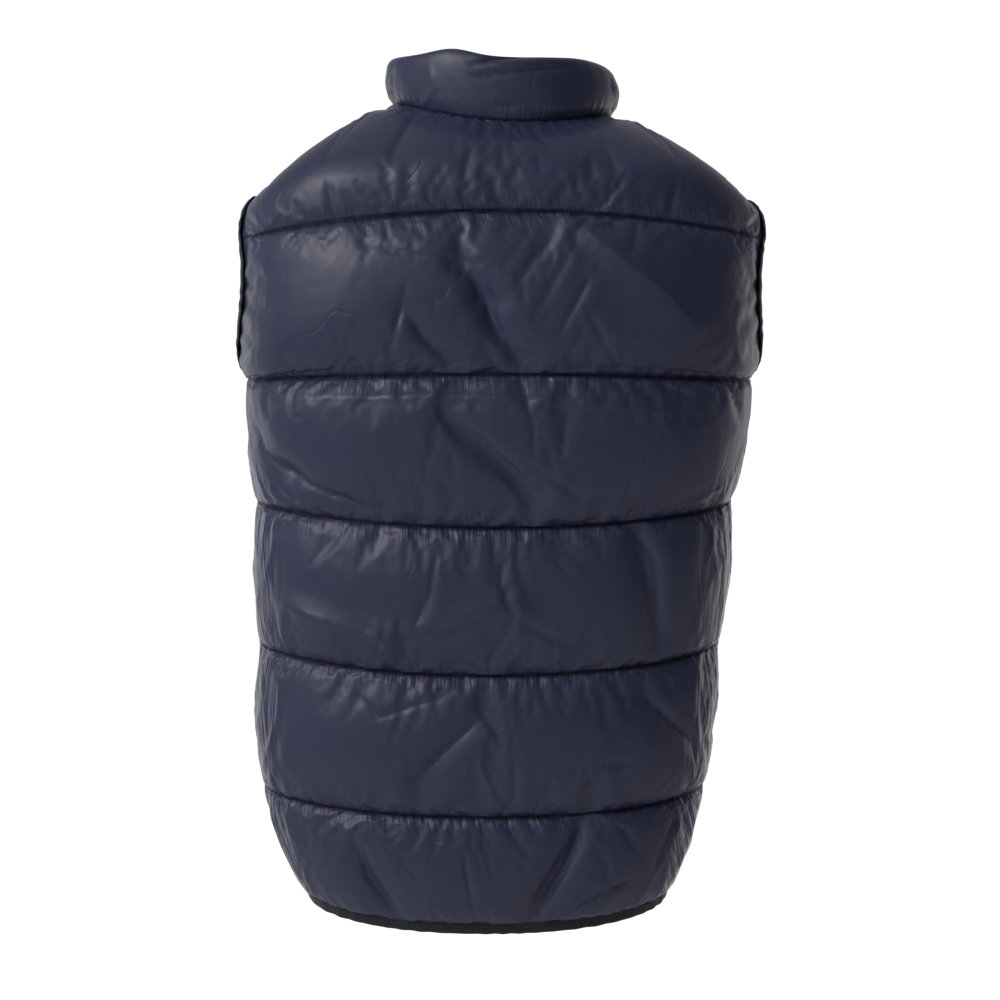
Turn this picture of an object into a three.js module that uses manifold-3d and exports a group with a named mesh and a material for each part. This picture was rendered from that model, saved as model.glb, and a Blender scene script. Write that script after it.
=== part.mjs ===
// A quilted vest with a stand collar, filled out as if it were worn.
// Millimetres, +Z up. The front faces -Y, the back faces +Y, and the wearer's left side is at +X.
// The origin is the middle of the neck, level with the points where the shoulder seams meet the collar.

import * as THREE from 'three';
import { mergeVertices } from 'three/addons/utils/BufferGeometryUtils.js';
import Module from 'manifold-3d';

// A table: the names of its columns, then one row of numbers for each of its entries
const table = (names, rows) => rows.map((row) => (
  Object.fromEntries(names.split(' ').map((name, i) => [name, row[i]]))
));

// Cloth and seams
const SEAM_WALL = 3;            // wall thickness where both layers are sewn together
const SEAM_GAP = 0.3;           // space between neighbouring pieces
const EDGE_RISE = 38;           // distance from a side edge over which the filling rises
const SIDE_SHARE = 0.28;        // the share of its full height that it has there
const SIDE_RISE = 125;          // distance from the edge at which it has its full height
const ZIP_RISE = 24;            // the same beside the zip
const NECK_RISE = 32;           // the same below the collar
const SHOULDER_SHARE = 0.25;    // the share of its full height that the filling has at the shoulder seam
const DOME_POWER = 0.55;        // how full a channel is: lower is boxier
const FRONT_OPENING = 11;       // space between the two fronts, which the zip closes

// The neck seam, an oval that drops towards the back and further towards the front. The vest hangs a
// little higher on its left shoulder, by the tilt.
const NECK = { halfWidth: 95, back: 75, front: 88, backDrop: 17, frontDrop: 62, tilt: 5 };

// The outer end of each shoulder seam, and the armhole's oval below it, which stands off the body
const SHOULDER_TIP = { x: 226, y: -4, z: -84 };
const ARMHOLE = { middle: -161, halfHeight: 74, back: 60, front: 72, flare: 11 };

// One row for each quilting line, from the hem up. The rows also shape the body between them:
// heights at the centre back, side seam and centre front, half the width, the depths of the side seam,
// back and front, the power of the section's rounded corners, how far the hanging body leans to the
// left side, and how high the filling stands in the channel above the line.
const LINES = table('zBack zSide zFront half side back front power lean loft', [
  [-731, -722, -724, 169, -4, 94, -102, 2.4, 14, 15],
  [-630, -621, -628, 204, -4, 104, -116, 2.4, 17, 15],
  [-502, -487, -498, 212, -4, 106, -121, 2.4, 12, 16],
  [-370, -355, -368, 217, -4, 114, -124, 2.45, 7, 16],
  [-237, -243, -240, 228, -4, 125, -130, 2.6, 3, 17],
  [-98, -119, -102, 234, -4, 114, -116, 2.9, 0, 12],
]);
const TOP_LINE = LINES.length - 1;
const TOP_EDGE = TOP_LINE + 1;

// The way the cloth runs where it reaches its top edge, from the shoulder's tip to the centre:
// how far across the panel, then the parts of its direction towards the neck, over the shoulder and up.
const TOP_DIRECTION = table('across inward over up', [
  [0, 0, 1, 0.05],
  [0.35, 0.05, 1, 0],
  [0.62, 0.55, 0.75, 0.3],
  [0.8, 0.3, 0.65, 0.65],
  [1, 0, 0.65, 0.75],
]);
const NECK_SIDE = 0.62;         // how far across a panel the shoulder seam meets the neck
const TOP_FULLNESS = 1.15;      // how far the top of the panel keeps its direction at both ends
const TIP_TILT = 0.35;          // the share of the neck's tilt that the shoulder's tip has

// The largest folds of the back: both ends, the distance over which the fold fades, and its height,
// where a trough is negative.
const FOLDS = table('fromX fromZ toX toZ width height', [
  [-65, -109, -159, -196, 15, 4],
  [34, -145, 7, -176, 13, -5],
  [18, -176, -20, -231, 14, -6],
  [80, -186, 36, -234, 13, -4],
  [178, -258, -130, -264, 13, 4],
  [208, -290, 180, -322, 14, -6],
  [180, -322, 107, -357, 14, -6],
  [46, -272, -26, -338, 14, -5],
  [180, -443, 99, -470, 15, 6],
  [99, -470, -10, -440, 15, 5],
  [-117, -377, -133, -469, 14, -5],
  [19, -540, 72, -594, 14, -5],
  [-124, -526, -169, -574, 14, -5],
  [-75, -632, -25, -722, 15, -8],
  [125, -666, 90, -724, 14, -6],
]);

// Places across a panel from its side edge to its centre, and places up one channel
const EDGE_COLUMNS = [0, 0.025, 0.07];
const SHOULDER_COLUMNS = 8;
const NECK_COLUMNS = 6;
const FIRST_SHOULDER_COLUMN = 0.125;
const ZIP_COLUMNS = [0.95, 0.982, 1];
const CHANNEL_ROWS = [0, 0.07, 0.24, 0.5, 0.76, 0.93];
const OVAL_ANGLES = [0, 17, 34, 51, 68, 85, 102, 114];

// Collar. On the right side it is fuller, and its top sinks inwards by the slump.
const COLLAR = {
  backHeight: 54, sideHeight: 44, frontHeight: 54, tilt: 4, lean: 1, loft: 7, rightLoft: 10, slump: 9,
};

// The collar's section: how far each point lies out from the neck seam, its share of the filling
// and its share of the height
const COLLAR_SECTION = table('out filling height', [
  [0, 0, 0],
  [0, 0, 0.94],
  [1.4, 0.1, 1],
  [2.6, 0.45, 0.985],
  [3, 0.85, 0.87],
  [3, 1, 0.65],
  [3, 0.96, 0.42],
  [3, 0.7, 0.2],
  [3, 0.3, 0.07],
  [3, 0, 0],
]);

// Bindings: the gap to the panel's edge, how far each reaches beyond it, how far it stands in and out of
// the wall, and how much its corners are cut off
const ARMHOLE_BINDING = { gap: 0.5, reach: 6, inside: 1.2, outside: 1.4, cut: 1.4 };
const HEM_BINDING = { gap: 0.3, reach: 10, inside: 1, outside: 1.6, cut: 1.4 };

// Pocket welts: channel, rows and columns of the front that each welt lies on, and its thickness
const WELT = { channel: 1, firstRow: 1, lastRow: 5, firstColumn: 1, lastColumn: 3, thickness: 2.4 };

// Zip
const TAPE = { gap: 0.45, thickness: 1, middle: 0.5 };
const TEETH = { halfWidth: 3.1, inside: 0.2, outside: 2.8 };
const SLIDER = { below: 12, halfWidth: 4.5, halfHeight: 7.5, inside: 3.2, thickness: 1.8 };
const PIN = { radius: 0.7, outward: 2.7, up: 3, earWidth: 1.2, earInner: 2.6, earRadius: 1.7 };
const PULL = { barrel: 2, bore: 1.05, barrelHalf: 2.2, halfWidth: 3.6, length: 30, thickness: 1.6 };
const PULL_NECK = { top: 1.5, end: 3, shoulder: 8 };
const PULL_SLOT = { fromEnd: 8, halfWidth: 1.2, halfLength: 4 };

// Colours
const NYLON = { color: 0x3d3d4f, roughness: 0.42, metalness: 0 };
const BINDING = { color: 0x23242f, roughness: 0.7, metalness: 0 };
const TAPE_CLOTH = { color: 0x20212b, roughness: 0.85, metalness: 0 };
const TOOTH_PLASTIC = { color: 0x17181d, roughness: 0.5, metalness: 0 };
const DARK_METAL = { color: 0x303238, roughness: 0.35, metalness: 0.9 };

// Numbers between the rows of a table

const vector = (x, y, z) => new THREE.Vector3(x, y, z);
const mix = (a, b, t) => a + (b - a) * t;

// A smooth curve through four values, from the second to the third
function smoothBetween(before, start, end, after, t) {
  const rise = (end - before) / 2;
  const fall = (after - start) / 2;
  const twist = 2 * (start - end) + rise + fall;
  return start + t * (rise + t * (3 * (end - start) - 2 * rise - fall + t * twist));
}

function bodyRow(place) {
  const index = Math.min(Math.max(Math.floor(place), 0), TOP_LINE - 1);
  const t = place - index;
  const row = (step) => LINES[Math.min(Math.max(index + step, 0), TOP_LINE)];
  const values = {};
  for (const name of Object.keys(LINES[0])) {
    values[name] = smoothBetween(row(-1)[name], row(0)[name], row(1)[name], row(2)[name], t);
  }
  return values;
}

function topDirection(across) {
  const next = Math.max(1, TOP_DIRECTION.findIndex((row) => row.across >= across));
  const a = TOP_DIRECTION[next - 1];
  const b = TOP_DIRECTION[next];
  const t = (across - a.across) / (b.across - a.across);
  return { inward: mix(a.inward, b.inward, t), over: mix(a.over, b.over, t), up: mix(a.up, b.up, t) };
}

// The surface that the inner side of every panel lies on.
// A panel is named by its face, 1 for the back and -1 for the front, and its side, 1 for the left and -1
// for the right.
// A point on it has a place across, 0 at the side edge and 1 at the centre, and a place up, which counts
// quilting lines from the hem.

const ovalHeight = (z) => 1 - ((z - ARMHOLE.middle) / ARMHOLE.halfHeight) ** 2;

// The angle at which a row starts: at the side seam, or at the armhole's edge above the underarm
function startAngle(row, face) {
  const oval = ovalHeight(row.zSide);
  const open = row.zSide > ARMHOLE.middle - ARMHOLE.halfHeight && oval > 0;
  if (!open) {
    return 0;
  }
  const depth = face > 0 ? ARMHOLE.back : ARMHOLE.front;
  const reach = Math.abs((face > 0 ? row.back : row.front) - row.side);
  return Math.asin((depth * Math.sqrt(oval) / reach) ** (row.power / 2));
}

function endAngle(row, face) {
  if (face > 0) {
    return Math.PI / 2;
  }
  return Math.acos((FRONT_OPENING / 2 / row.half) ** (row.power / 2));
}

function bodyPoint(across, up, face, side) {
  const row = bodyRow(up);
  const angle = mix(startAngle(row, face), endAngle(row, face), across);
  const wide = Math.max(Math.cos(angle), 0) ** (2 / row.power);
  const deep = Math.sin(angle) ** (2 / row.power);
  const depth = (face > 0 ? row.back : row.front) - row.side;
  const middleHeight = face > 0 ? row.zBack : row.zFront;
  const fromUnderarm = (row.zSide - ARMHOLE.middle) / ARMHOLE.halfHeight + 1;
  const oval = Math.sqrt(Math.max(ovalHeight(row.zSide), 0));
  const flare = ARMHOLE.flare * oval * Math.max(1 - fromUnderarm / 2, 0);
  return vector(
    row.lean + side * (row.half + flare) * wide,
    row.side + depth * deep,
    mix(middleHeight, row.zSide, wide ** 2),
  );
}

// The neck seam, by its angle: 0 at a shoulder seam and a quarter turn at the centre
function neckPoint(angle, face, side) {
  const depth = face > 0 ? NECK.back : -NECK.front;
  const drop = face > 0 ? NECK.backDrop : NECK.frontDrop;
  return vector(
    side * NECK.halfWidth * Math.cos(angle),
    depth * Math.sin(angle),
    -drop * Math.sin(angle) ** 2 + side * NECK.tilt * Math.cos(angle),
  );
}

function neckAngle(across, face) {
  const last = face > 0 ? Math.PI / 2 : Math.acos(FRONT_OPENING / 2 / NECK.halfWidth);
  return last * (across - NECK_SIDE) / (1 - NECK_SIDE);
}

function topEdgePoint(across, face, side) {
  if (across >= NECK_SIDE) {
    return neckPoint(neckAngle(across, face), face, side);
  }
  const t = across / NECK_SIDE;
  return vector(
    side * mix(SHOULDER_TIP.x, NECK.halfWidth, t),
    mix(SHOULDER_TIP.y, 0, t),
    mix(SHOULDER_TIP.z, 0, t) + side * NECK.tilt * mix(TIP_TILT, 1, t),
  );
}

// Above the top quilting line the panel turns over the shoulder, on one cubic from the line to the top edge.
function yokePoint(across, t, face, side) {
  const step = 0.02;
  const start = bodyPoint(across, TOP_LINE, face, side);
  const end = topEdgePoint(across, face, side);
  const length = start.distanceTo(end) * TOP_FULLNESS;
  const startPull = start.clone().sub(bodyPoint(across, TOP_LINE - step, face, side)).setLength(length);
  const way = topDirection(across);
  const endPull = vector(-side * way.inward, -face * way.over, way.up).setLength(length);
  const back = t - 1;
  return start.multiplyScalar((1 + 2 * t) * back * back)
    .addScaledVector(startPull, t * back * back)
    .addScaledVector(end, t * t * (3 - 2 * t))
    .addScaledVector(endPull, t * t * back);
}

function panelPoint(across, up, face, side) {
  const point = up <= TOP_LINE
    ? bodyPoint(across, up, face, side)
    : yokePoint(across, up - TOP_LINE, face, side);
  point.y += face * SEAM_GAP / 2;
  return point;
}

function neckOutward(angle, face, side) {
  const depth = face > 0 ? NECK.back : -NECK.front;
  return vector(side * Math.cos(angle) / NECK.halfWidth, Math.sin(angle) / depth, 0).normalize();
}

function panelNormal(across, up, face, side) {
  if (up === TOP_EDGE && across >= NECK_SIDE) {
    return neckOutward(neckAngle(across, face), face, side);
  }
  if (up === TOP_EDGE) {
    return vector(-side * SHOULDER_TIP.z, 0, SHOULDER_TIP.x - NECK.halfWidth).normalize();
  }
  const step = 0.02;
  const place = (a, u) => panelPoint(
    Math.min(Math.max(a, 0), 1),
    Math.min(Math.max(u, 0), TOP_EDGE),
    face,
    side,
  );
  const acrossWay = place(across + step, up).sub(place(across - step, up));
  const upWay = place(across, up + step).sub(place(across, up - step));
  const normal = acrossWay.cross(upWay).normalize();
  const point = place(across, up);
  const outward = point.clone().sub(vector(0, 0, Math.min(point.z, LINES[TOP_LINE - 1].zBack)));
  return normal.dot(outward) < 0 ? normal.negate() : normal;
}

// How thick the filled wall is

const dome = (t) => Math.max(4 * t * (1 - t), 0) ** DOME_POWER;
const rise = (distance, width) => {
  const left = 1 - Math.min(distance / width, 1);
  return (1 - left * left) ** DOME_POWER;
};

// The part of a fold's height that a point has, by its distance from the line between the fold's ends
function foldHeight(fold, x, z) {
  const line = new THREE.Vector2(fold.toX - fold.fromX, fold.toZ - fold.fromZ);
  const offset = new THREE.Vector2(x - fold.fromX, z - fold.fromZ);
  const along = Math.min(Math.max(offset.dot(line) / line.lengthSq(), 0), 1);
  const distance = offset.addScaledVector(line, -along).length();
  return fold.height * Math.exp(-((distance / fold.width) ** 2));
}

function distanceToNeck(point, face, side) {
  const steps = 12;
  let nearest = Infinity;
  for (let i = 0; i <= steps; i += 1) {
    nearest = Math.min(nearest, point.distanceTo(neckPoint(i / steps * Math.PI / 2, face, side)));
  }
  return nearest;
}

function wallThickness(across, up, face, side) {
  const point = panelPoint(across, up, face, side);
  const channel = Math.min(Math.floor(up), TOP_LINE);
  const fromNeck = channel < TOP_LINE ? NECK_RISE : distanceToNeck(point, face, side);
  const fromSide = point.distanceTo(panelPoint(0, up, face, side));
  const filled = dome(up - channel)
    * rise(fromSide, EDGE_RISE)
    * mix(SIDE_SHARE, 1, THREE.MathUtils.smoothstep(fromSide, 0, SIDE_RISE))
    * Math.min(fromNeck / NECK_RISE, 1)
    * (channel < TOP_LINE ? 1 : mix(1, SHOULDER_SHARE, up - channel));
  if (face < 0) {
    const fromZip = point.distanceTo(panelPoint(1, up, face, side));
    return SEAM_WALL + LINES[channel].loft * filled * rise(fromZip, ZIP_RISE);
  }
  const folded = FOLDS.reduce((sum, fold) => sum + foldHeight(fold, point.x, point.z), 0);
  return SEAM_WALL + filled * (LINES[channel].loft + folded);
}

// Closed solids from grids of points

function toGeometry(positions, triangles) {
  const geometry = new THREE.BufferGeometry();
  const numbers = positions.flatMap((point) => point.toArray());
  geometry.setAttribute('position', new THREE.Float32BufferAttribute(numbers, 3));
  geometry.setIndex(triangles);
  const merged = mergeVertices(geometry);
  merged.computeVertexNormals();
  return merged;
}

function signedVolume(positions, triangles) {
  let volume = 0;
  for (let i = 0; i < triangles.length; i += 3) {
    const [a, b, c] = [0, 1, 2].map((k) => positions[triangles[i + k]]);
    volume += a.dot(b.clone().cross(c));
  }
  return volume;
}

function facingOut(positions, triangles) {
  if (signedVolume(positions, triangles) > 0) {
    return toGeometry(positions, triangles);
  }
  const turned = [];
  for (let i = 0; i < triangles.length; i += 3) {
    turned.push(triangles[i], triangles[i + 2], triangles[i + 1]);
  }
  return toGeometry(positions, turned);
}

// A wall between two grids of the same size, closed along its four edges
function wall(outer, inner) {
  const rows = outer.length;
  const columns = outer[0].length;
  const positions = [...outer.flat(), ...inner.flat()];
  const at = (layer, i, j) => layer * rows * columns + i * columns + j;
  const triangles = [];
  const quad = (a, b, c, d) => triangles.push(a, b, c, a, c, d);
  for (let i = 0; i + 1 < rows; i += 1) {
    for (let j = 0; j + 1 < columns; j += 1) {
      quad(at(0, i, j), at(0, i, j + 1), at(0, i + 1, j + 1), at(0, i + 1, j));
      quad(at(1, i, j), at(1, i + 1, j), at(1, i + 1, j + 1), at(1, i, j + 1));
    }
    quad(at(0, i, 0), at(0, i + 1, 0), at(1, i + 1, 0), at(1, i, 0));
    quad(at(0, i + 1, columns - 1), at(0, i, columns - 1), at(1, i, columns - 1), at(1, i + 1, columns - 1));
  }
  for (let j = 0; j + 1 < columns; j += 1) {
    quad(at(0, 0, j + 1), at(0, 0, j), at(1, 0, j), at(1, 0, j + 1));
    quad(at(0, rows - 1, j), at(0, rows - 1, j + 1), at(1, rows - 1, j + 1), at(1, rows - 1, j));
  }
  return facingOut(positions, triangles);
}

// A bar through rings of the same number of points, closed on itself or with flat ends
function bar(rings, closed) {
  const size = rings[0].length;
  const positions = rings.flat();
  const triangles = [];
  const steps = closed ? rings.length : rings.length - 1;
  for (let i = 0; i < steps; i += 1) {
    const next = (i + 1) % rings.length;
    for (let k = 0; k < size; k += 1) {
      const [a, b] = [i * size + k, i * size + (k + 1) % size];
      const [c, d] = [next * size + (k + 1) % size, next * size + k];
      triangles.push(a, b, c, a, c, d);
    }
  }
  if (!closed) {
    const last = (rings.length - 1) * size;
    for (let k = 1; k + 1 < size; k += 1) {
      triangles.push(0, k + 1, k, last, last + k, last + k + 1);
    }
  }
  return facingOut(positions, triangles);
}

const group = new THREE.Group();

function addPiece(name, geometry, finish) {
  const mesh = new THREE.Mesh(geometry, new THREE.MeshStandardMaterial(finish));
  mesh.name = name;
  group.add(mesh);
}

// The grid that every panel is made on

const evenly = (from, to, count) => Array.from({ length: count + 1 }, (_, i) => mix(from, to, i / count));
const shoulderColumns = [...EDGE_COLUMNS, ...evenly(FIRST_SHOULDER_COLUMN, NECK_SIDE, SHOULDER_COLUMNS)];
const neckColumns = {
  back: evenly(NECK_SIDE, 1, NECK_COLUMNS),
  front: [...evenly(NECK_SIDE, ZIP_COLUMNS[0], NECK_COLUMNS - 1), ...ZIP_COLUMNS.slice(1)],
};
const columnPlaces = (face) => [
  ...shoulderColumns,
  ...(face > 0 ? neckColumns.back : neckColumns.front).slice(1),
];

// The place up the body at which its side seam has a given height
function placeAtSideHeight(height) {
  let [low, high] = [TOP_LINE - 1, TOP_LINE];
  for (let i = 0; i < 40; i += 1) {
    const middle = (low + high) / 2;
    if (bodyRow(middle).zSide < height) {
      low = middle;
    } else {
      high = middle;
    }
  }
  return low;
}

// Beside the armhole the rows follow its oval in even turns; elsewhere they follow each channel.
const armholeRows = OVAL_ANGLES.map((angle) => placeAtSideHeight(
  ARMHOLE.middle - ARMHOLE.halfHeight * Math.cos(THREE.MathUtils.degToRad(angle)),
));
const rowPlaces = [];
for (let channel = 0; channel < TOP_EDGE; channel += 1) {
  if (channel === TOP_LINE - 1) {
    rowPlaces.push(channel, ...armholeRows);
  } else {
    rowPlaces.push(...CHANNEL_ROWS.map((t) => channel + t));
  }
}
rowPlaces.push(TOP_EDGE);

function panelGrids(face, side) {
  const grids = { inner: [], outer: [], normal: [] };
  const columns = columnPlaces(face);
  for (const up of rowPlaces) {
    const normals = columns.map((across) => panelNormal(across, up, face, side));
    const points = columns.map((across) => panelPoint(across, up, face, side));
    grids.normal.push(normals);
    grids.inner.push(points);
    grids.outer.push(points.map((point, j) => (
      point.clone().addScaledVector(normals[j], wallThickness(columns[j], up, face, side))
    )));
  }
  return grids;
}

const grids = {
  backLeft: panelGrids(1, 1),
  backRight: panelGrids(1, -1),
  frontLeft: panelGrids(-1, 1),
  frontRight: panelGrids(-1, -1),
};

// Back: one panel, both halves joined at the centre column
const joinHalves = (left, right) => left.map((row, i) => [...row, ...right[i].slice(0, -1).reverse()]);
const backOuter = joinHalves(grids.backLeft.outer, grids.backRight.outer);
const backInner = joinHalves(grids.backLeft.inner, grids.backRight.inner);
addPiece('back', wall(backOuter, backInner), NYLON);

// Fronts
addPiece('front_left', wall(grids.frontLeft.outer, grids.frontLeft.inner), NYLON);
addPiece('front_right', wall(grids.frontRight.outer, grids.frontRight.inner), NYLON);

// A binding's ring of eight points beyond a panel's edge, where away points out of the panel
function bindingRing(edge, normal, away, size) {
  const place = (out, thick) => edge.clone().addScaledVector(away, out).addScaledVector(normal, thick);
  const near = size.gap;
  const far = near + size.reach;
  const low = -size.inside;
  const high = SEAM_WALL + size.outside;
  return [
    place(near, low + size.cut), place(near + size.cut, low),
    place(far - size.cut, low), place(far, low + size.cut),
    place(far, high - size.cut), place(far - size.cut, high),
    place(near + size.cut, high), place(near, high - size.cut),
  ];
}

// Rings along a line of edge points, turned square to it. The side of the line they lie on is told by
// a point that the binding must be nearer to than the panel is.
function bindingRings(line, towards, size, closed) {
  const count = line.length;
  const neighbour = (i) => {
    const wrapped = closed ? (i + count) % count : Math.min(Math.max(i, 0), count - 1);
    return line[wrapped].point;
  };
  return line.map(({ point, normal }, i) => {
    const along = neighbour(i + 1).clone().sub(neighbour(i - 1)).normalize();
    const square = normal.clone().addScaledVector(along, -normal.dot(along)).normalize();
    const away = along.clone().cross(square);
    if (away.dot(towards(point)) < 0) {
      away.negate();
    }
    return bindingRing(point, square, away, size);
  });
}

// Armhole bindings: up the back's edge from the underarm and down the front's edge
const firstArmholeRow = rowPlaces.indexOf(armholeRows[0]);
function armholeLine(back, front) {
  const edge = (grid) => grid.inner
    .map((row, i) => ({ point: row[0].clone(), normal: grid.normal[i][0].clone() }))
    .slice(firstArmholeRow);
  const up = edge(back);
  const down = edge(front).reverse();
  const meet = (a, b) => {
    a.point.lerp(b.point, 0.5);
    a.normal.add(b.normal).normalize();
  };
  meet(up[up.length - 1], down[0]);
  meet(up[0], down[down.length - 1]);
  return [...up, ...down.slice(1, -1)];
}

for (const [name, back, front] of [
  ['armhole_binding_left', grids.backLeft, grids.frontLeft],
  ['armhole_binding_right', grids.backRight, grids.frontRight],
]) {
  const line = armholeLine(back, front);
  const centre = line.reduce((sum, { point }) => sum.add(point), vector(0, 0, 0)).divideScalar(line.length);
  const towards = (point) => centre.clone().sub(point);
  addPiece(name, bar(bindingRings(line, towards, ARMHOLE_BINDING, true), true), BINDING);
}

// Hem binding: from the left front's edge round the back to the right front's edge
const hemEdge = (grid) => grid.inner[0].map((point, j) => ({ point, normal: grid.normal[0][j] }));
const hemLine = [
  ...hemEdge(grids.frontLeft).reverse(),
  ...hemEdge(grids.backLeft).slice(1),
  ...hemEdge(grids.backRight).reverse().slice(1),
  ...hemEdge(grids.frontRight).slice(1),
];
const hemRings = bindingRings(hemLine, () => vector(0, 0, -1), HEM_BINDING, false);
addPiece('hem_binding', bar(hemRings, false), BINDING);

// Collar: its section, carried round the neck seam from one front to the other
function collarRing(angle, face, side) {
  const base = neckPoint(angle, face, side);
  const outward = neckOutward(angle, face, side);
  const middleHeight = face > 0 ? COLLAR.backHeight : COLLAR.frontHeight;
  const tilt = side * COLLAR.tilt * Math.cos(angle);
  const height = mix(COLLAR.sideHeight, middleHeight, Math.sin(angle) ** 2) - tilt;
  const fromZip = face > 0 ? ZIP_RISE : Math.abs(base.x) - FRONT_OPENING / 2;
  const right = side < 0 ? Math.cos(angle) ** 2 : 0;
  const filling = mix(COLLAR.loft, COLLAR.rightLoft, right) * rise(Math.max(fromZip, 0), ZIP_RISE);
  const leanAt = (share) => COLLAR.lean * share - COLLAR.slump * right * share ** 2;
  return COLLAR_SECTION.map((place) => base.clone()
    .addScaledVector(outward, place.out + place.filling * filling + leanAt(place.height))
    .add(vector(0, 0, SEAM_GAP + place.height * height)));
}

const collarHalf = (side) => {
  const front = neckColumns.front.map((across) => collarRing(neckAngle(across, -1), -1, side)).reverse();
  const back = neckColumns.back.slice(1).map((across) => collarRing(neckAngle(across, 1), 1, side));
  return [...front, ...back];
};
addPiece('collar', bar([...collarHalf(1), ...collarHalf(-1).reverse().slice(1)], false), NYLON);

// Pocket welts: strips on the fronts beside the side seams, a little above their surface
const weltRow = WELT.channel * CHANNEL_ROWS.length;
for (const [name, grid] of [['pocket_welt_left', grids.frontLeft], ['pocket_welt_right', grids.frontRight]]) {
  const layer = (height) => grid.outer
    .slice(weltRow + WELT.firstRow, weltRow + WELT.lastRow + 1)
    .map((row, i) => row.slice(WELT.firstColumn, WELT.lastColumn + 1).map((point, j) => (
      point.clone().addScaledVector(grid.normal[weltRow + WELT.firstRow + i][WELT.firstColumn + j], height)
    )));
  addPiece(name, wall(layer(SEAM_GAP + WELT.thickness), layer(SEAM_GAP)), BINDING);
}

// The zip's line: up the middle between the fronts and on between the collar's ends
const lastColumn = columnPlaces(-1).length - 1;
const zipLine = grids.frontLeft.inner.map((row, i) => {
  const left = row[lastColumn];
  const right = grids.frontRight.inner[i][lastColumn];
  return {
    point: left.clone().add(right).divideScalar(2),
    out: grids.frontLeft.normal[i][lastColumn].clone().setX(0).normalize(),
  };
});
const collarFoot = zipLine[zipLine.length - 1].point;
for (const height of [0.5, 1]) {
  zipLine.push({
    point: collarFoot.clone().add(vector(0, -COLLAR.lean * height, COLLAR.frontHeight * height)),
    out: vector(0, -1, 0),
  });
}

const zipPlace = ({ point, out }, x, depth) => vector(x, 0, 0).add(point).addScaledVector(out, depth);

// Zip tapes: behind the edge of each front, and up behind the collar's end
for (const [name, grid, side] of [
  ['zip_tape_left', grids.frontLeft, 1],
  ['zip_tape_right', grids.frontRight, -1],
]) {
  const widthAt = (i) => {
    const row = grid.inner[Math.min(i, grid.inner.length - 1)];
    return Math.abs(row[lastColumn].x - row[lastColumn - 1].x) + FRONT_OPENING / 2;
  };
  const sagAt = (i) => {
    const row = grid.inner[Math.min(i, grid.inner.length - 1)];
    return row[lastColumn - 1].clone().sub(row[lastColumn]).setX(0);
  };
  const layer = (depth) => zipLine.map((place, i) => [
    zipPlace(place, side * TAPE.middle, -depth),
    zipPlace(place, side * FRONT_OPENING / 2, -depth),
    zipPlace(place, side * widthAt(i), -depth).add(sagAt(i)),
  ]);
  addPiece(name, wall(layer(TAPE.gap), layer(TAPE.gap + TAPE.thickness)), TAPE_CLOTH);
}

// Zip teeth: one bar for the closed row
const teethRings = zipLine.map((place) => [
  zipPlace(place, -TEETH.halfWidth, TEETH.inside),
  zipPlace(place, TEETH.halfWidth, TEETH.inside),
  zipPlace(place, TEETH.halfWidth, TEETH.outside),
  zipPlace(place, -TEETH.halfWidth, TEETH.outside),
]);
addPiece('zip_teeth', bar(teethRings, false), TOOTH_PLASTIC);

// Joining solids
const wasm = await Module();
wasm.setup();

function toManifold(geometry) {
  const bare = geometry.clone();
  bare.deleteAttribute('normal');
  bare.deleteAttribute('uv');
  const merged = mergeVertices(bare);
  return new wasm.Manifold(new wasm.Mesh({
    numProp: 3,
    vertProperties: new Float32Array(merged.attributes.position.array),
    triVerts: new Uint32Array(merged.index.array),
  }));
}

function joined(geometries) {
  const solid = geometries.map(toManifold).reduce((a, b) => a.add(b));
  const mesh = solid.getMesh();
  const geometry = new THREE.BufferGeometry();
  geometry.setAttribute('position', new THREE.BufferAttribute(mesh.vertProperties, 3));
  geometry.setIndex(new THREE.BufferAttribute(mesh.triVerts, 1));
  geometry.computeVertexNormals();
  return geometry;
}

// The slider's place on the zip: its middle, just below the collar's top edge
const zipTop = zipLine[zipLine.length - 1].point;
const collarSlope = COLLAR.lean / COLLAR.frontHeight;
const sliderMiddle = zipTop.clone().add(vector(0, collarSlope * SLIDER.below, -SLIDER.below));
const plateBack = sliderMiddle.y - SLIDER.inside;
const pinY = plateBack - SLIDER.thickness - PIN.outward;
const pinZ = sliderMiddle.z + PIN.up;

// A flat shape given a thickness
const slab = (shape, depth, curveSegments) => (
  new THREE.ExtrudeGeometry(shape, { depth, bevelEnabled: false, curveSegments })
);

// Zip slider: a shield-shaped plate with two ears and the pin that the pull tab swings on
function sliderPlate() {
  const shield = new THREE.Shape();
  const [w, h] = [SLIDER.halfWidth, SLIDER.halfHeight];
  shield.moveTo(-0.5 * w, -h);
  shield.lineTo(0.5 * w, -h);
  shield.quadraticCurveTo(w, -0.2 * h, w, 0.4 * h);
  shield.quadraticCurveTo(w, h, 0, h);
  shield.quadraticCurveTo(-w, h, -w, 0.4 * h);
  shield.quadraticCurveTo(-w, -0.2 * h, -0.5 * w, -h);
  const plate = slab(shield, SLIDER.thickness, 5);
  plate.rotateX(Math.PI / 2);
  plate.translate(sliderMiddle.x, plateBack, sliderMiddle.z);
  return plate;
}

function sliderEar(side) {
  const outline = new THREE.Shape();
  const foot = PIN.outward + SLIDER.thickness / 2;
  outline.moveTo(-PIN.earRadius, foot);
  outline.lineTo(-PIN.earRadius, 0);
  outline.absarc(0, 0, PIN.earRadius, Math.PI, 2 * Math.PI, false);
  outline.lineTo(PIN.earRadius, foot);
  const ear = slab(outline, PIN.earWidth, 8);
  ear.rotateY(Math.PI / 2);
  ear.translate(side > 0 ? PIN.earInner : -PIN.earInner - PIN.earWidth, 0, 0);
  ear.translate(sliderMiddle.x, pinY, pinZ);
  return ear;
}

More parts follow.
